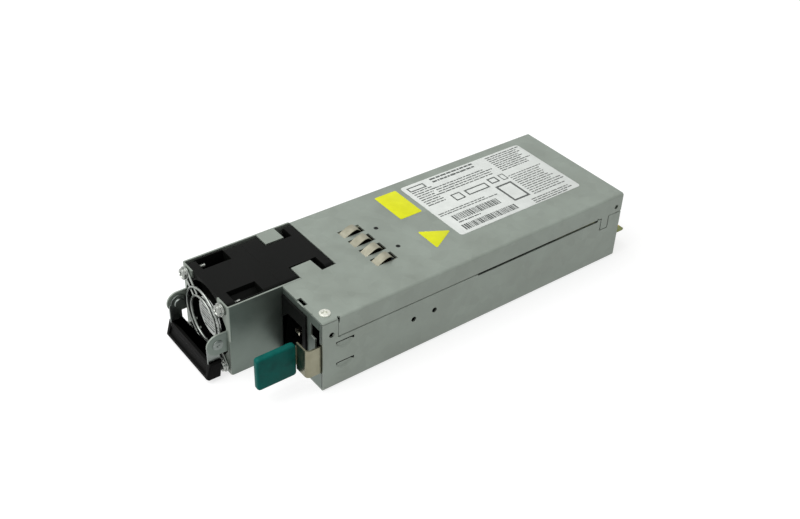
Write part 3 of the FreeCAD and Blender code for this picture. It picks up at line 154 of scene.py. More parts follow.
def softened(node, width, material, body="case", steps=2, rim=None):
    """A copy of a node with its edges broken, as tooling, tumbling or moulding leaves them.

    Doubled corners are merged and flat neighbours joined before the edges are bevelled. A
    rim material goes on the bevels, where a punch or a file has bared the edge, and its
    lighter colour is a painted highlight there.
    """
    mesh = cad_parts[node].data.copy()
    work = bmesh.new()
    work.from_mesh(mesh)
    bmesh.ops.remove_doubles(work, verts=work.verts, dist=0.002 * MM)
    bmesh.ops.dissolve_limit(work, angle_limit=math.radians(0.6), verts=work.verts, edges=work.edges)
    work.to_mesh(mesh)
    work.free()
    mesh.materials.clear()
    mesh.materials.append(material)
    mesh.materials.append(rim or material)      # index 1, for the bevels
    smooth(mesh)
    copy = bpy.data.objects.new(node + "_finished", mesh)
    bpy.context.scene.collection.objects.link(copy)
    edge = copy.modifiers.new("broken_edge", "BEVEL")
    edge.width = width * MM
    edge.segments = steps
    edge.limit_method = "ANGLE"
    edge.angle_limit = math.radians(BEVELLED)
    edge.harden_normals = True
    edge.material = 1
    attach(copy, body)
    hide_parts(node)


# Bare steel where the punch has sheared it, lightened into a painted highlight: a thin bright line along
# each edge.
cut_steel_and_highlight = finish("punched_edge_and_painted_highlight", "B4BAB3", "CDD1CB", 1.0, (0.3, 0.45), metallic=0.8)
# Zinc rolled smooth on the cage's wall and the plate's front: more of a mirror than the
# dipped sheet, and darker, which is painted shade for these faces that lie in shadow.
rolled_and_shaded_zinc = finish("rolled_zinc_with_painted_shade", "69736C", "78827B", CLOUD, (0.36, 0.44), metallic=0.9)
# Each sheet's bevels take the bare edge colour, which also paints their highlight.
for node in ("chassis_tray", "top_cover", "rear_panel", "inlet_plate"):
    softened(node, SHEET_EDGE, galvanised, rim=cut_steel_and_highlight)
tray = bpy.data.objects["chassis_tray_finished"].data
plate = bpy.data.objects["inlet_plate_finished"].data
fan_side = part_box("front_fan_frame")[1].x
CAGE_WALL = 2.0              # the cage's right wall lies within this of the fan
FACING = 0.9                 # a face looks along an axis where its normal has this much of it
ROLLED_AND_SHADED = 2                   # material index, after the sheet and its bare edges
# The darker zinc, painted shade, goes on the cage's wall beside the fan and on the plate's front.
for mesh in (tray, plate):
    mesh.materials.append(rolled_and_shaded_zinc)
for face in tray.polygons:
    beside_fan = 0 < face.center.x - fan_side < CAGE_WALL * MM
    if face.normal.x > FACING and face.center.y < 0 and beside_fan:
        face.material_index = ROLLED_AND_SHADED
for face in plate.polygons:
    if face.normal.y < -FACING:
        face.material_index = ROLLED_AND_SHADED

# The punch tears a wide throat open over each pressed tab of the right wall, and the
# sheared edge of the inlet plate stands off that wall.
SLIT_TOPS = (12.6, 24.6)
SLIT_REACH = (7.0, 16.6)     # along Y
SLIT_RISE = 0.6              # of the slit under its top edge
SLIT_TEAR = 1.0              # of metal torn away over that edge
SHEARED = 0.4                # off the plate's edge
EDGE_DEEP = 1.0              # the plate's edge lies this near the inlet face
WALL = 1.0                   # the right wall lies within this of the case's side
NEAR = 0.05                  # slack in picking points on a line
wall_face = cad_box[1][0] / MM


def along_slit(y):
    """Tells which places along Y lie over the slits' reach."""
    return (y > SLIT_REACH[0] - 2 * NEAR) & (y < SLIT_REACH[1] + 2 * NEAR)


for mesh in (tray, plate):
    flat = np.empty(len(mesh.vertices) * 3, np.float32)
    mesh.vertices.foreach_get("co", flat)
    points = flat.reshape(-1, 3)
    x, y, z = points.T / MM
    if mesh is tray:
        in_wall = (x > wall_face - WALL) & along_slit(y)
        for slit in SLIT_TOPS:
            points[in_wall & (abs(z - slit) < NEAR), 2] += SLIT_TEAR * MM
    else:
        points[(x > x.max() - NEAR) & (y < EDGE_DEEP), 0] -= SHEARED * MM
    mesh.vertices.foreach_set("co", points.ravel())
    mesh.update()
# Painted shade in the torn throats: a near-black colour on their faces, so that they read as black.
painted_throat_shade = finish("painted_shade_in_throats", "060706", "101110", 1.0, (0.5, 0.7))
THROAT_SHADE = 3                     # material index
tray.materials.append(painted_throat_shade)
# The throats' edgewise faces take the painted shade.
for face in tray.polygons:
    x, y, z = face.center / MM
    in_throat = any(slit - SLIT_RISE - NEAR < z < slit + SLIT_TEAR + NEAR for slit in SLIT_TOPS)
    edgewise = abs(face.normal.x) < 0.5
    if x > wall_face - 2 * WALL and along_slit(y) and edgewise and in_throat:
        face.material_index = THROAT_SHADE

# --- Boards and what holds them ------------------------------------------------------
# Glass-epoxy laminate under green solder mask, on hexagonal brass standoffs pressed into
# the tray, with a black polyester film below so that solder tails can't touch the steel.
MASK_CLOUD = 3.0             # width of a cloud in the mask


def dress(node, material):
    """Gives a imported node's own mesh a material in each of its slots."""
    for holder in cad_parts[node].material_slots:
        holder.material = material


# Solder mask over woven glass: a deep, slightly clouded green with a glossy coat.
laminate = finish("solder_masked_laminate", "123A24", "1C5233", MASK_CLOUD, (0.25, 0.4),
                  Coat_Weight=0.3)
# Polyester film: near black and smooth.
film = finish("polyester_film", "101113", "1B1D20", 8.0, (0.25, 0.35))
# Tin over brass: a bright silver with a little warmth.
standoff_brass = finish("tin_plated_brass", "B5B2A4", "CFCDC2", 2.0, (0.25, 0.4), metallic=1.0)
# Bright nickel: a grey mirror, hazed by tumbling.
nickel = finish("bright_nickel_plate", "8B8E89", "A8ABA6", 1.5, (0.2, 0.3), metallic=1.0)
for node in ("main_board", "filter_board", "control_board"):
    dress(node, laminate)
dress("insulating_film", film)
dress("board_standoffs", standoff_brass)
dress("board_screws", nickel)

# --- Inlet ---------------------------------------------------------------------------
# Three-pole appliance inlet moulded in black glass-filled nylon. Its blades are nickel-plated
# brass, pressed in and soldered through the upright board. The line fuse near it is ceramic.
SPARK = 0.35                 # grain of a spark-eroded mould, drawn coarser so that it shows
NYLON_EDGE = 0.25            # round of the moulded edges
# Nylon from a spark-eroded mould: a fine-grained matt black that gives back little light.
nylon = finish("moulded_black_nylon", "060706", "0C0D0C", SPARK, (0.4, 0.55), relief=0.006,
               Specular_IOR_Level=0.07)
# Nickel over brass: a pale, warm metal with a soft shine.
blade_plate = finish("nickel_plated_brass", "A9A493", "CFCBBB", 2.5, (0.22, 0.36), metallic=1.0)
# Glazed ceramic: a creamy white with a wet shine.
ceramic = finish("glazed_ceramic", "D9D5C8", "ECE9DF", 4.0, (0.15, 0.3))
softened("inlet_housing", NYLON_EDGE, nylon)
dress("inlet_pins", blade_plate)
dress("line_fuse", ceramic)

# --- Power parts ---------------------------------------------------------------------
# Wound, boxed and sleeved parts soldered into the main board, with extruded aluminium
# sinks. All are hidden by the case except through the holes of the rear panel.

# Enamelled copper wire: orange-brown turns with a varnished shine.
enamel = finish("enamelled_copper_wire", "A3541F", "CF8145", 1.2, (0.2, 0.35), metallic=0.9,
                along=(1, 1, 4))
# Shrunk vinyl: a dark blue skin, tight and glossy.
sleeve = finish("shrunk_vinyl_sleeve", "121A26", "1E2A3B", 6.0, (0.2, 0.3), Coat_Weight=0.4)
# Sintered ferrite: a dull charcoal with a fine tooth.
ferrite = finish("sintered_ferrite", "1F1E1F", "343233", 0.8, (0.5, 0.7), relief=0.01)
# Polyester tape: a smooth amber yellow.
tape = finish("polyester_tape", "C79A22", "E0B83C", 5.0, (0.2, 0.35))
# Extruded aluminium: a pale metal, lined along its length.
aluminium = finish("extruded_aluminium", "B3B6B6", "CFD1D0", 0.6, (0.3, 0.45), metallic=1.0,
                   along=(8, 1, 8))
# Moulded epoxy: a matt black with a sandy grain.
epoxy = finish("moulded_epoxy", "141415", "222223", 0.4, (0.5, 0.65), relief=0.004)
# Filled polyester box: an opaque mustard yellow with a low sheen.
film_case = finish("polyester_capacitor_box", "A98F1F", "C7AC38", 4.0, (0.35, 0.5))
for node, material in {"filter_choke": enamel, "boost_choke": enamel,
                       "bulk_capacitors": sleeve, "output_capacitors": aluminium,
                       "transformer_core": ferrite, "transformer_winding": tape,
                       "primary_heat_sink": aluminium, "secondary_heat_sink": aluminium,
                       "power_transistors": epoxy, "rectifiers": epoxy, "control_chips": epoxy,
                       "film_capacitor": film_case}.items():
    dress(node, material)

# --- Output card ---------------------------------------------------------------------
# The card edge that mates with the server: bare yellow-green laminate, chamfered at its
# end, with hard gold pads plated on both faces and copper bars down to the main board.

# Bare glass epoxy: a mottled, waxy yellow green.
card_laminate = finish("bare_glass_epoxy", "6E7C33", "A3AB5C", 2.2, (0.35, 0.5))
# Hard gold: a warm, even mirror.
gold = finish("hard_gold_plate", "C79A3E", "E0BC66", 1.5, (0.2, 0.3), metallic=1.0)
# Rolled copper: a streaked red metal.
copper = finish("rolled_copper", "A55F38", "C98358", 1.0, (0.25, 0.4), metallic=1.0,
                along=(1, 6, 1))
dress("output_card", card_laminate)
dress("card_contacts", gold)
dress("output_busbars", copper)

# --- Fans ----------------------------------------------------------------------------
# Two fans moulded in black glass-filled polyester stand one behind the other, and their
# rotors turn by themselves. Each rotor is one moulding: a hub cup with twisted blades.
low, high = (np.array(corner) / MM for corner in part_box("front_fan_frame"))
FAN_X, FAN_Z = (low[0] + high[0]) / 2, (low[2] + high[2]) / 2
HUB = 10.4                   # outside radius of the hub cup
HUB_ROUND = 0.3              # round of its front edge
HUB_WALL = 0.9
TIP = 17.5                   # radius at the blades' tips
BLADE = 0.9                  # thickness in the middle of a blade
BLADE_TURN = 0.62            # radians that a blade turns from its front edge to its back
FAN_EDGE = 0.12              # round of the frames' edges
ROOT = 0.5                   # of a blade, sunk into the hub
BLADE_BACK = 2.1             # from the hub's face to the blades
BLADE_LONG = 17.0
BORE = 1.05                  # for the shaft
BOSS = 2.2                   # round the shaft, inside the cup
BOSS_LONG = 4.4
BORE_SPLIT = 0.6             # where the bore's wall is parted, behind the hub's face
CUP_FLOOR = 1.4              # from the hub's face to the inside of the cup
# Glass-filled polyester from a spark-eroded mould: matt black, a shade greyer than nylon.
fan_plastic = finish("moulded_black_polyester", "080908", "0E0F0D", SPARK, (0.45, 0.58),
                     relief=0.006, Specular_IOR_Level=0.07)
# Stacked steel sheets: a dull metal, finely lined across the shaft.
motor_steel = finish("laminated_motor_steel", "6F7272", "8D908F", 0.5, (0.3, 0.45),
                     metallic=1.0, along=(1, 12, 1))
for node in ("front_fan_frame", "rear_fan_frame"):
    softened(node, FAN_EDGE, fan_plastic)
for node in ("front_fan_stator", "rear_fan_stator", "front_fan_magnet", "rear_fan_magnet",
             "front_fan_shaft", "rear_fan_shaft", "fan_bearings"):
    dress(node, motor_steel)


def skin(grid, ring=False):
    """A closed surface over a grid of points: quads between neighbours, wrapping in v.

    The two open ends in u get one polygon each, unless the rows form a ring. All faces are
    turned over where the volume that they enclose comes out negative.
    """
    rows, columns = grid.shape[:2]
    index = np.arange(rows * columns).reshape(rows, columns)
    wrapped = np.hstack([index, index[:, :1]])
    if ring:
        wrapped = np.vstack([wrapped, wrapped[:1]])
    quads = np.stack([wrapped[:-1, :-1], wrapped[1:, :-1], wrapped[1:, 1:], wrapped[:-1, 1:]], -1)
    quads = quads.reshape(-1, 4)
    points = grid.reshape(-1, 3)
    a, b, c, d = (points[quads[:, i]] for i in range(4))
    volume = np.einsum("ij,ij->", a, np.cross(b, c)) + np.einsum("ij,ij->", a, np.cross(c, d))
    faces = quads.tolist()
    if not ring:
        for end in (index[0], index[-1, ::-1]):
            p = points[end]
            volume += np.einsum("j,ij->", p[0], np.cross(p[1:-1], p[2:]))
            faces.append(end.tolist())
    if volume < 0:
        faces = [face[::-1] for face in faces]
    return points, faces


def piece(name, skins, material, body, stands_for=(), angle=SHARP):
    """One object from closed skins in millimetres; it rides on a body and may stand for nodes."""
    points, faces, start = [], [], 0
    for skin_points, skin_faces in skins:
        points.append(skin_points)
        faces += [[start + i for i in face] for face in skin_faces]
        start += len(skin_points)
    mesh = bpy.data.meshes.new(name)
    mesh.from_pydata(np.vstack(points) * MM, [], faces)
    mesh.materials.append(material)
    smooth(mesh, angle)
    made = bpy.data.objects.new(name, mesh)
    bpy.context.scene.collection.objects.link(made)
    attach(made, body)
    if stands_for:
        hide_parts(*stands_for)


def turned(axis, centre, profile, steps):
    """A turned solid: rows (radius, place along the axis) of a profile, swept round the axis.

    p = centre + radius * (cos s, sin s) in the plane across the axis.
    """
    s = np.linspace(0, 2 * np.pi, steps, endpoint=False)
    radius, place = np.array(profile, float).T
    a = centre[0] + np.outer(radius, np.cos(s))
    b = centre[1] + np.outer(radius, np.sin(s))
    h = np.repeat(place[:, None], steps, axis=1)
    return np.stack({"x": (h, a, b), "y": (a, h, b), "z": (a, b, h)}[axis], -1)


def blade(front, phase, turn):
    """One fan blade, rows from root to tip and columns round its section.

    The section's middle line runs back from the front by BLADE_LONG * t and round the axis by
    turn * t ^ 1.4 * (1.15 - 0.3 * u), u from root to tip; its half thickness is a flattened
    sine of t, and that is laid off round the axis.
    """
    steps = 13
    u = np.linspace(0, 1, 9)[:, None]
    t = np.concatenate([np.linspace(0, 1, steps), np.linspace(1, 0, steps)[1:-1]])[None, :]
    side = np.concatenate([np.ones(steps), -np.ones(steps - 2)])[None, :]
    radius = HUB - ROOT + (TIP - HUB + ROOT) * u
    half = 0.5 * BLADE * (1 - 0.4 * u) * np.sqrt(np.sin(np.pi * np.clip(t, 0.02, 0.98)))
    angle = phase + turn * t ** 1.4 * (1.15 - 0.3 * u) + 0.18 * u + side * half / radius
    y = front + BLADE_LONG * t + 0 * u
    return np.stack([FAN_X + radius * np.sin(angle), y, FAN_Z + radius * np.cos(angle)], -1)


for end, count, turn in (("front", 7, BLADE_TURN), ("rear", 5, -BLADE_TURN)):
    low, high = (np.array(corner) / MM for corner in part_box(end + "_impeller"))
    front, back = low[1], high[1]
    q = np.linspace(0, np.pi / 2, 6)
    rim = np.stack([HUB - HUB_ROUND + HUB_ROUND * np.sin(q),
                    front + HUB_ROUND * (1 - np.cos(q))], -1)
    inside = [[HUB, back], [HUB - HUB_WALL, back], [HUB - HUB_WALL, front + CUP_FLOOR],
              [BOSS, front + CUP_FLOOR], [BOSS, front + BOSS_LONG], [BORE, front + BOSS_LONG]]
    cup = np.vstack([[[BORE, front + BORE_SPLIT], [BORE, front]], rim, inside])
    skins = [skin(turned("y", (FAN_X, FAN_Z), cup, 64), ring=True)]
    for i in range(count):
        skins.append(skin(blade(front + BLADE_BACK, 2 * np.pi * i / count, turn)))
    piece(end + "_rotor_moulding", skins, fan_plastic, end + "_rotor",
          (end + "_impeller",))

# Thin black plates of the same moulding close the corner pockets of the front fan at its sides: painted
# shade, dark sheets put where the deep pockets lie in shadow.
WEB = 0.5
WEB_INSET = 0.05             # from the fan's sides, so that no two faces share a plane
POCKET = 8.75                # height of a pocket
POCKET_FROM, POCKET_TO = 4.5, 19.0


def bar(axis, a0, a1, b0, b1, ends):
    """A closed bar: a rectangle across axis 0, 1 or 2, carried along it from end to end."""
    corners = np.array([[a0, b0], [a1, b0], [a1, b1], [a0, b1]])
    return skin(np.stack([np.insert(corners, axis, place, axis=1) for place in ends]))


low, high = (np.array(corner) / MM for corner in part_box("front_fan_frame"))
shade_webs = []
for x in (low[0] + WEB_INSET, high[0] - WEB_INSET - WEB):
    for z in (low[2] + WEB_INSET, high[2] - WEB_INSET - POCKET):
        shade_webs.append(bar(0, low[1] + POCKET_FROM, low[1] + POCKET_TO, z, z + POCKET, (x, x + WEB)))
piece("front_fan_pocket_shade_webs", shade_webs, fan_plastic, "case")

# --- Hub label -----------------------------------------------------------------------
# A round white polyester label stuck on the front hub, printed with ruled grey rows that
# stand for no words. It turns with the hub.
LABEL_RADIUS = 10.05
LABEL_THICK = 0.06
INK = 0.02
ROW_SPAN = 7.2               # of the ruled rows, above and below the middle
ROW_PITCH = 1.6
ROW_TALL = 0.6
HEADING_TALL = 1.0           # of every third row
ROW_MARGIN = 1.4             # from a row's ends to the rim
ROW_GAP = 0.5
ROW_SHORTEST = 0.6
# White polyester film: a flat, faintly cool white.
label_film = finish("white_polyester_label", "D5D9D5", "E0E4E0", 5.0, (0.4, 0.5),
                    Specular_IOR_Level=0.2)
# Screen ink: a dull dark grey.
label_ink = finish("grey_label_ink", "434845", "565B57", 2.0, (0.4, 0.5))
low, high = (np.array(corner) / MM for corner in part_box("front_impeller"))
print_face = low[1] - LABEL_THICK
disc = [[0.05, low[1]], [LABEL_RADIUS, low[1]], [LABEL_RADIUS, print_face], [0.05, print_face]]
piece("hub_label", [skin(turned("y", (FAN_X, FAN_Z), disc, 64))], label_film, "front_rotor")
rng = np.random.default_rng(7)
rows = []
for row, z in enumerate(np.arange(-ROW_SPAN, ROW_SPAN + 0.1, ROW_PITCH)):
    reach = math.sqrt(LABEL_RADIUS ** 2 - z ** 2) - ROW_MARGIN
    tall = ROW_TALL if row % 3 else HEADING_TALL
    cuts = np.sort(rng.uniform(-reach, reach, 4))
    for x0, x1 in ((-reach, cuts[0]), (cuts[0] + ROW_GAP, cuts[2]), (cuts[2] + ROW_GAP, reach)):
        if x1 - x0 > ROW_SHORTEST:
            rows.append(bar(1, FAN_X + x0, FAN_X + x1, FAN_Z + z - tall / 2, FAN_Z + z + tall / 2,
                            (print_face - INK, print_face)))
piece("hub_label_print", rows, label_ink, "front_rotor")

# --- Finger guard --------------------------------------------------------------------
# Nickel-plated 1.2 mm steel wire: two rings spot welded to four hairpin legs, whose bends
# loop round the fan screws and are clamped under their washers.
WIRE = 1.2
RING_RADII = (15.6, 11.5)
LOOP = 2.3                   # radius of a leg's bend round its screw
PITCH = 32.0                 # between fan screws
# Nickel over drawn wire: grey, with long soft highlights.
guard_plate = finish("nickel_plated_wire", "858A85", "A3A7A2", 2.0, (0.25, 0.38), metallic=1.0)
low, high = (np.array(corner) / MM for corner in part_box("finger_guard"))
LEG_Y = high[1] - WIRE / 2
RING_Y = low[1] + WIRE / 2


def wire(path, closed=False):
    """Round wire along a path in an XZ plane.

    p = path + WIRE / 2 * (cos v * n + sin v * y), where n is the path's tangent x the Y axis.
    """
    step = np.roll(path, -1, 0) - np.roll(path, 1, 0)
    if not closed:
        step[0], step[-1] = path[1] - path[0], path[-1] - path[-2]
    step /= np.linalg.norm(step, axis=1)[:, None]
    across = np.cross(step, [0.0, 1.0, 0.0])
    v = np.linspace(0, 2 * np.pi, 12, endpoint=False)[None, :, None]
    outward = np.cos(v) * across[:, None] + np.sin(v) * np.array([0, 1.0, 0])
    return path[:, None] + WIRE / 2 * outward


guard = []
s = np.linspace(0, 2 * np.pi, 96, endpoint=False)
for radius in RING_RADII:
    ring = np.stack([FAN_X + radius * np.cos(s), np.full(len(s), RING_Y),
                     FAN_Z + radius * np.sin(s)], -1)
    guard.append(skin(wire(ring, closed=True), ring=True))
far = PITCH / math.sqrt(2)
near = RING_RADII[1]
bend = np.linspace(np.pi, 0, 17)
leg = np.vstack([[[-LOOP, near]], np.stack([LOOP * np.cos(bend), far + LOOP * np.sin(bend)], -1),
                 [[LOOP, near]]])
for corner in range(4):
    angle = math.radians(45 + 90 * corner)
    x = FAN_X + leg[:, 0] * math.cos(angle) + leg[:, 1] * math.sin(angle)
    z = FAN_Z - leg[:, 0] * math.sin(angle) + leg[:, 1] * math.cos(angle)
    guard.append(skin(wire(np.stack([x, np.full(len(x), LEG_Y), z], -1))))
piece("finger_guard_wire", guard, guard_plate, "case", ("finger_guard",), angle=50)

# --- Fan screws ----------------------------------------------------------------------
# Nickel-plated pan head machine screws with a cross recess, over a flat washer. They go
# through the cage into the fan's corners, and their tips show in its corner pockets.
HEAD = 2.75                  # radius
HEAD_TALL = 1.9
HEAD_DOME = 0.75             # fall from the middle of the head to its rim
CROSS = 0.9                  # depth of the cross recess
WASHER = 3.3                 # radius
WASHER_THICK = 0.5
WASHER_ROUND = 0.12
THREAD = 1.4                 # radius over the crests
THREAD_DEEP = 0.22
THREAD_PITCH = 0.5


def rounded_rim(radius, near, far, rim):
    """Profile rows of a disc between two places, with its far rim rounded by a quarter circle."""
    q = np.linspace(0, np.pi / 2, 6)
    direction = math.copysign(1, far - near)
    arc = np.stack([radius - rim + rim * np.cos(q), far - direction * rim * (1 - np.sin(q))], -1)
    return np.vstack([[[0.05, near], [radius, near]], arc, [[0.05, far]]])


def recessed_head(axis, centre, seat, toward, radius, tall, dome):
    """A pan head seen from above: a domed disc with a cross sunk in it.

    Height over the seat is tall - dome * (r / radius) ^ 2.6, less CROSS times a mask that is
    one inside two crossed bars with soft sides, fading to zero at their ends.
    """
    r = np.concatenate([np.linspace(0.03, 0.94, 20), [0.975, 1.0, 1.0, 0.05]])[:, None] * radius
    s = np.linspace(0, 2 * np.pi, 72, endpoint=False)[None, :]
    a, b = r * np.cos(s + 0.35), r * np.sin(s + 0.35)
    height = tall - dome * (r / radius) ** 2.6 + 0 * s
    width, length = radius * 0.17, radius * 0.62
    bars = [np.clip((width - abs(p)) / (width * 0.5) + 0.5, 0, 1)
            * np.clip((length - abs(q)) / (length * 0.25), 0, 1) for p, q in ((a, b), (b, a))]
    height = height - CROSS * np.maximum(*bars)
    height[-3] = tall - dome * 1.35
    height[-2:] = 0.0
    x, z = centre[0] + r * np.cos(s), centre[1] + r * np.sin(s)
    h = seat + toward * height
    return skin(np.stack({"x": (h, x, z), "y": (x, h, z), "z": (x, z, h)}[axis], -1))


def thread(axis, centre, start, stop):
    """A threaded shank: its radius steps between crest and root every half pitch."""
    ridge = np.arange(start, stop, THREAD_PITCH / 2)
    radius = THREAD - THREAD_DEEP * (np.arange(len(ridge)) % 2)
    return skin(turned(axis, centre, np.stack([radius, ridge], -1), 24))


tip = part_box("fan_screws")[1][1] / MM
washer_back = LEG_Y - WIRE / 2
washer_front = washer_back - WASHER_THICK
washer = rounded_rim(WASHER, washer_back, washer_front, WASHER_ROUND)
screws = []
for i in (-1, 1):
    for k in (-1, 1):
        place = (FAN_X + i * PITCH / 2, FAN_Z + k * PITCH / 2)
        screws.append(skin(turned("y", place, washer, 40)))
        screws.append(recessed_head("y", place, washer_front, -1, HEAD, HEAD_TALL, HEAD_DOME))
        screws.append(thread("y", place, washer_front, tip))
piece("fan_screws_turned", screws, nickel, "case", ("fan_screws",))

# --- Handle --------------------------------------------------------------------------
# A bail bent from zinc-plated strip hangs on two shouldered rivets, with a black grip moulded
# over its web. The rivets' heads are turned with a raised ring and a drilled middle.

# Zinc-plated strip: a cool grey metal with a faint grain.
zinc = finish("zinc_plated_strip", "727975", "8A908C", 1.4, (0.28, 0.42), metallic=1.0,
              along=(1, 1, 5))
# Grip moulding: the darkest black of the part, with a dull eroded skin.
grip_plastic = finish("moulded_black_grip", "030303", "070706", SPARK, (0.5, 0.65), relief=0.005,
                      Specular_IOR_Level=0.07)
BAIL_EDGE = 0.15
GRIP_EDGE = 0.25
WEB_SKIN = 0.06              # of the moulding, left over the bail's web in the scooped front
SKIN_SIDE, SKIN_END = 3, 2   # from the grip's ends, and from its top and foot, to that skin
softened("handle_bail", BAIL_EDGE, zinc, "handle")
softened("handle_grip", GRIP_EDGE, grip_plastic, "handle", steps=3)
low, high = (np.array(corner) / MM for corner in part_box("handle_grip"))
web_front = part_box("handle_bail")[0].y / MM
inner_skin = bar(1, low[0] + SKIN_SIDE, high[0] - SKIN_SIDE, low[2] + SKIN_END, high[2] - SKIN_END,
                 (web_front - WEB_SKIN, web_front))
piece("handle_grip_inner_skin", [inner_skin], grip_plastic, "handle")
low, high = (np.array(corner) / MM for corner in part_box("handle_rivets"))
PIVOT = ((low[1] + high[1]) / 2, (low[2] + high[2]) / 2)
RIVET = (high[2] - low[2]) / 2
RIVET_HEAD = 0.5             # height
DRILL = 0.7                  # radius of the drilled middle
DRILL_DEEP = 0.35
SHANK = 1.5                  # radius
LUG = 0.8
ARM_END = 1.2                # from the lug's inside to the far side of the arm
TAIL = 0.7                   # height of the head formed behind the arm
behind = RIVET_HEAD + LUG + ARM_END
profile = [(0.05, DRILL_DEEP), (DRILL, DRILL_DEEP), (0.85, 0.05), (1.5, 0.0), (2.0, 0.12),
           (RIVET - 0.1, 0.2), (RIVET, RIVET_HEAD), (SHANK, RIVET_HEAD), (SHANK, behind),
           (RIVET - 0.1, behind), (RIVET, behind + 0.2), (RIVET - 0.3, behind + TAIL),
           (0.05, behind + TAIL)]
rivets = []
for edge, inward in ((low[0], 1), (high[0], -1)):
    rows = [(radius, edge + inward * place) for radius, place in profile]
    rivets.append(skin(turned("x", PIVOT, rows, 48)))
piece("handle_rivets_turned", rivets, zinc, "case", ("handle_rivets",))

# --- Latch ---------------------------------------------------------------------------
# A strip of spring steel, hung on the wall's pressed tabs and bent across the inlet end,
# carries a teal thumb tab moulded over its tang. The tab is smooth with full round edges.
TAB_ROUND = 1.1
TAB_CORNER = 1.9
SPRING_EDGE = 0.12
# Tempered spring steel: a bright strip with a straw tint.
spring_steel = finish("tempered_spring_steel", "7E7C69", "8D8B78", 6.0, (0.26, 0.36), metallic=1.0)
# Moulded teal plastic: an even, strong colour with little shine.
tab_plastic = finish("moulded_teal_plastic", "06504A", "0A635B", 6.0, (0.36, 0.48),
                     Specular_IOR_Level=0.08)
softened("latch_spring", SPRING_EDGE, spring_steel, "latch")


def corner_cut(points, cut, steps=6):
    """An outline whose corners are replaced by quadratic curves.

    p = (1 - s)^2 a + 2 s (1 - s) corner + s^2 b, where a and b lie on the corner's two sides.
    """
    corner = np.array(points, float)
    before, after = np.roll(corner, 1, 0) - corner, np.roll(corner, -1, 0) - corner
    a = corner + cut * before / np.linalg.norm(before, axis=1)[:, None]
    b = corner + cut * after / np.linalg.norm(after, axis=1)[:, None]
    s = np.linspace(0, 1, steps)[None, :, None]
    curve = (1 - s) ** 2 * a[:, None] + 2 * s * (1 - s) * corner[:, None] + s ** 2 * b[:, None]
    return curve.reshape(-1, 2)


def slab(axis, outline, low_end, high_end, rim, steps=5):
    """An outline carried along an axis, its two rims rounded by quarter circles.

    A row at angle q lies rim * (1 - sin q) inside the outline, along its own normals, and
    rim * (1 - cos q) from its end.
    """
    step = np.roll(outline, -1, 0) - np.roll(outline, 1, 0)
    inward = np.stack([-step[:, 1], step[:, 0]], -1)
    x, y = outline.T
    area = np.sum(x * np.roll(y, -1) - np.roll(x, -1) * y)
    inward *= np.sign(area) / np.linalg.norm(inward, axis=1)[:, None]
    q = np.linspace(0, np.pi / 2, steps)
    inset = np.concatenate([rim * (1 - np.sin(q)), rim * (1 - np.sin(q[::-1]))])
    height = np.concatenate([low_end + rim * (1 - np.cos(q)),
                             high_end - rim * (1 - np.cos(q[::-1]))])
    flat = outline[None] + inset[:, None, None] * inward[None]
    h = np.repeat(height[:, None], len(outline), axis=1)
    a, b = flat[..., 0], flat[..., 1]
    return skin(np.stack({"x": (h, a, b), "y": (a, h, b), "z": (a, b, h)}[axis], -1))


low, high = (np.array(corner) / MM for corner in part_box("latch_tab"))
outline = corner_cut([(low[1], low[2]), (high[1], low[2]), (high[1], high[2]),
                      (low[1], high[2])], TAB_CORNER)
piece("latch_tab_moulding", [slab("x", outline, low[0], high[0], TAB_ROUND)], tab_plastic,
      "latch", ("latch_tab",), angle=40)

# --- Grounding clip ------------------------------------------------------------------
# Stainless strip under the cover with four sprung fingers up through its slots, held by
# two rivets whose shanks end a little below the cover's top.

# Cold rolled stainless: a satin metal, faintly warm.
stainless = finish("cold_rolled_stainless", "8C8A79", "A09E8D", 5.0, (0.32, 0.44), metallic=0.75)
# Blackened steel: dark, with a dull glint.
blackened = finish("blackened_rivet", "0C0D0D", "1A1B1B", 1.0, (0.4, 0.6), metallic=0.6)
CLIP_EDGE = 0.06
softened("grounding_clip", CLIP_EDGE, stainless)
dress("clip_rivets", blackened)

# --- Cover screw ---------------------------------------------------------------------
# A low pan head screw with a cross recess, plated white zinc, that locks the cover to the
# flange of the inlet plate.

# White zinc: a pale silver with a trace of yellow.
white_zinc = finish("white_zinc_plate", "C9CBC0", "E3E5DB", 1.2, (0.3, 0.45), metallic=0.6)
low, high = (np.array(corner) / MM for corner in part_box("cover_screw"))
centre = ((low[0] + high[0]) / 2, (low[1] + high[1]) / 2)
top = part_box("top_cover")[1][2] / MM
LOW_DOME = 0.3
head = recessed_head("z", centre, top, 1, (high[0] - low[0]) / 2, high[2] - top, LOW_DOME)
piece("cover_screw_turned", [head, thread("z", centre, low[2], top)], white_zinc, "case",
      ("cover_screw",))

# --- Labels --------------------------------------------------------------------------
# A white polyester rating label and two plain yellow ones, 0.1 mm thick with die-cut round
# corners. The white one has ruled grey rows, hatched strips and blank frames for its words.
STICKER = 0.1
STICKER_ROUND = 0.03
# Yellow vinyl: an even, bright lemon with a soft shine.
yellow_film = finish("yellow_vinyl_label", "D6D814", "E1E420", 6.0, (0.4, 0.5),
                     Specular_IOR_Level=0.2)
RATING = [(-30.5, 91.5), (19.0, 91.5), (19.0, 171.5), (-30.5, 171.5)]
OBLONG = [(-30.3, 75.5), (-8.0, 75.5), (-8.0, 88.6), (-30.3, 88.6)]
THREE_SIDED = [(4.9, 75.7), (20.4, 75.5), (12.6, 89.7)]
for name, corners, rounding, material in (
        ("rating_label", RATING, 2.0, label_film),
        ("yellow_label_plain", OBLONG, 0.9, yellow_film),
        ("yellow_label_three_sided", THREE_SIDED, 1.2, yellow_film)):
    sheet = slab("z", corner_cut(corners, rounding), top, top + STICKER, STICKER_ROUND, 3)
    piece(name, [sheet], material, "case")

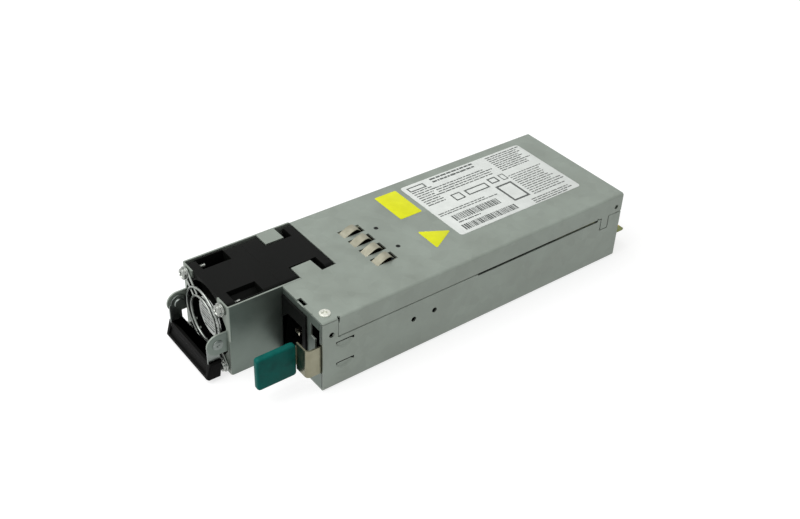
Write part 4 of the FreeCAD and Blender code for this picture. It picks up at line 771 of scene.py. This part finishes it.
RUNS = (1.0, 4.0)            # shortest and longest printed bar
RUN_LEFT = 0.4               # what is left of a row stays blank below this
RUN_GAP = 0.45
RAGGED = 0.25                # share of a row that its end may fall short


def mark(x0, x1, y0, y1):
    """A printed bar on the rating label."""
    return bar(2, x0, x1, y0, y1, (top + STICKER, top + STICKER + INK))


def ruled(x0, x1, y0, y1, pitch, tall):
    """Rows of broken bars along Y, from x0 to x1, that fill a block as lines of print would."""
    made = []
    for x in np.arange(x0 + pitch / 2, x1, pitch):
        y = y0
        stop = y1 - rng.uniform(0, RAGGED) * (y1 - y0)
        while y < stop:
            run = min(rng.uniform(*RUNS), stop - y)
            if run > RUN_LEFT:
                made.append(mark(x - tall / 2, x + tall / 2, y, y + run))
            y += run + RUN_GAP
    return made


def box_frame(x0, x1, y0, y1, line):
    """A blank rectangle drawn with four bars."""
    return [mark(x0, x1, y0, y0 + line), mark(x0, x1, y1 - line, y1),
            mark(x0, x0 + line, y0 + line, y1 - line), mark(x1 - line, x1, y0 + line, y1 - line)]


HATCH_WIDTHS = [0.35, 0.6, 0.95]
HATCH_GAPS = [0.3, 0.5]


def hatch(x0, x1, y0, y1):
    """Bars of three widths across a strip, with uneven gaps."""
    made = []
    y = y0
    while y < y1:
        width = rng.choice(HATCH_WIDTHS)
        made.append(mark(x0, x1, y, y + width))
        y += width + rng.choice(HATCH_GAPS)
    return made


# Edges of each block along X and Y, then the pitch and height of its rows.
BLOCKS = [(-30.0, -24.0, 109.5, 140.0, 2.6, 1.3), (-22.0, -13.5, 106.5, 145.0, 1.9, 0.8),
          (-29.5, -14.0, 147.0, 170.5, 1.75, 0.75), (-24.0, -9.5, 94.0, 107.0, 1.9, 0.8),
          (-1.5, 2.0, 93.0, 131.0, 1.6, 0.7), (-9.5, 13.0, 146.0, 170.3, 1.8, 0.7),
          (13.8, 18.2, 141.0, 169.0, 1.6, 0.7), (9.2, 10.6, 97.5, 112.0, 1.2, 0.8)]
# Edges of each frame, then the width of its line.
FRAMES = [(-4.5, 10.9, 133.2, 143.8, 1.2), (-11.5, -5.5, 109.0, 115.0, 0.8),
          (-11.0, -6.0, 117.5, 131.5, 0.9), (-12.5, -7.5, 134.0, 139.5, 0.9),
          (-12.5, -7.0, 141.5, 145.0, 0.6), (-28.3, -24.3, 94.0, 104.5, 0.8)]
HATCHES = [(3.4, 8.4, 97.5, 126.0), (12.3, 16.8, 96.6, 130.6)]
prints = [strip for block in BLOCKS for strip in ruled(*block)]
prints += [strip for place in FRAMES for strip in box_frame(*place)]
prints += [strip for place in HATCHES for strip in hatch(*place)]
piece("rating_label_print", prints, label_ink, "case")

# --- Table, light and camera ---------------------------------------------------------
# A plain white table that carries only the object's soft shadow, under an even sky and two
# broad lamps.
TABLE = 3.0                  # metres from its middle to a side
scene = bpy.context.scene
level = cad_box[0][2] - 0.2 * MM
table = bpy.data.meshes.new("table")
table.from_pydata([(-TABLE, -TABLE, level), (TABLE, -TABLE, level), (TABLE, TABLE, level),
                   (-TABLE, TABLE, level)], [], [(0, 1, 2, 3)])


def looked_at(tree):
    """One for a ray that shows the surface to the eye, and zero for one that carries its light."""
    rays = add(tree, "LightPath").outputs
    seen = add(tree, "Math", {0: rays["Is Camera Ray"], 1: rays["Is Glossy Ray"]},
               operation="MAXIMUM")
    seen = add(tree, "Math", {0: seen.outputs[0], 1: rays["Is Transmission Ray"]},
               operation="MAXIMUM")
    return seen.outputs[0]


GLOW = 0.72                  # its white, before the lamps add theirs
MATT = 0.4                   # share of the lamps' light that it gives back
# White table top: it shows as an even white and takes only soft shadows.
table_top = bpy.data.materials.new("white_table")
table_top.use_nodes = True
tree = table_top.node_tree
lift = add(tree, "Math", {0: looked_at(tree), 1: GLOW}, operation="MULTIPLY")
glow = add(tree, "Emission", {"Color": (1, 1, 1, 1), "Strength": lift.outputs[0]})
matt = add(tree, "BsdfDiffuse", {"Color": (MATT, MATT, MATT, 1)})
mixed = add(tree, "AddShader", {0: glow.outputs[0], 1: matt.outputs[0]})
tree.links.new(mixed.outputs[0], tree.nodes["Material Output"].inputs["Surface"])
table.materials.append(table_top)
floor = bpy.data.objects.new("table", table)
scene.collection.objects.link(floor)

SKY = 0.5                    # the sky's light on the object
world = bpy.data.worlds.new("even_sky")
scene.world = world
world.use_nodes = True
tree = world.node_tree
strength = add(tree, "MapRange", {"Value": looked_at(tree), "To Min": SKY, "To Max": 1.0})
tree.links.new(strength.outputs[0], tree.nodes["Background"].inputs["Strength"])
tree.nodes["Background"].inputs["Color"].default_value = (1, 1, 1, 1)

LAMP_SIZE = 0.8              # metres, as are the places here
LAMPS_AIM = (0.0, 0.08, 0.02)
for name, place, power in (("key_lamp", (-0.15, -0.35, 0.85), 5.9),
                           ("front_lamp", (-0.2, -1.0, 0.5), 2.0)):
    lamp = bpy.data.lights.new(name, "AREA")
    lamp.energy = power
    lamp.size = LAMP_SIZE
    holder = bpy.data.objects.new(name, lamp)
    away = np.array(place) - np.array(LAMPS_AIM)
    away /= np.linalg.norm(away)
    across = np.cross([0, 0, 1.0], away)
    across /= np.linalg.norm(across)
    turn = np.eye(4)
    turn[:3, :3] = np.stack([across, np.cross(away, across), away], -1)
    turn[:3, 3] = place
    holder.matrix_world = Matrix(turn.tolist())
    scene.collection.objects.link(holder)

EYE = (0.329085, -0.192303, 0.332211)
AZIMUTH, ELEVATION, ROLL = (math.radians(a) for a in (51.48, 36.40, 2.61))
FOCAL = 48.06                # millimetres
right = np.array([math.cos(AZIMUTH), math.sin(AZIMUTH), 0])
back = np.array([math.sin(AZIMUTH) * math.cos(ELEVATION),
                 -math.cos(AZIMUTH) * math.cos(ELEVATION), math.sin(ELEVATION)])
up = np.cross(back, right)
turn = np.eye(4)
turn[:3, 0] = math.cos(ROLL) * right + math.sin(ROLL) * up
turn[:3, 1] = math.cos(ROLL) * up - math.sin(ROLL) * right
turn[:3, 2] = back
turn[:3, 3] = EYE
lens = bpy.data.cameras.new("camera")
lens.lens = FOCAL
lens.clip_start = 0.01
camera = bpy.data.objects.new("camera", lens)
camera.matrix_world = Matrix(turn.tolist())
scene.collection.objects.link(camera)
scene.camera = camera
scene.view_settings.view_transform = "Standard"
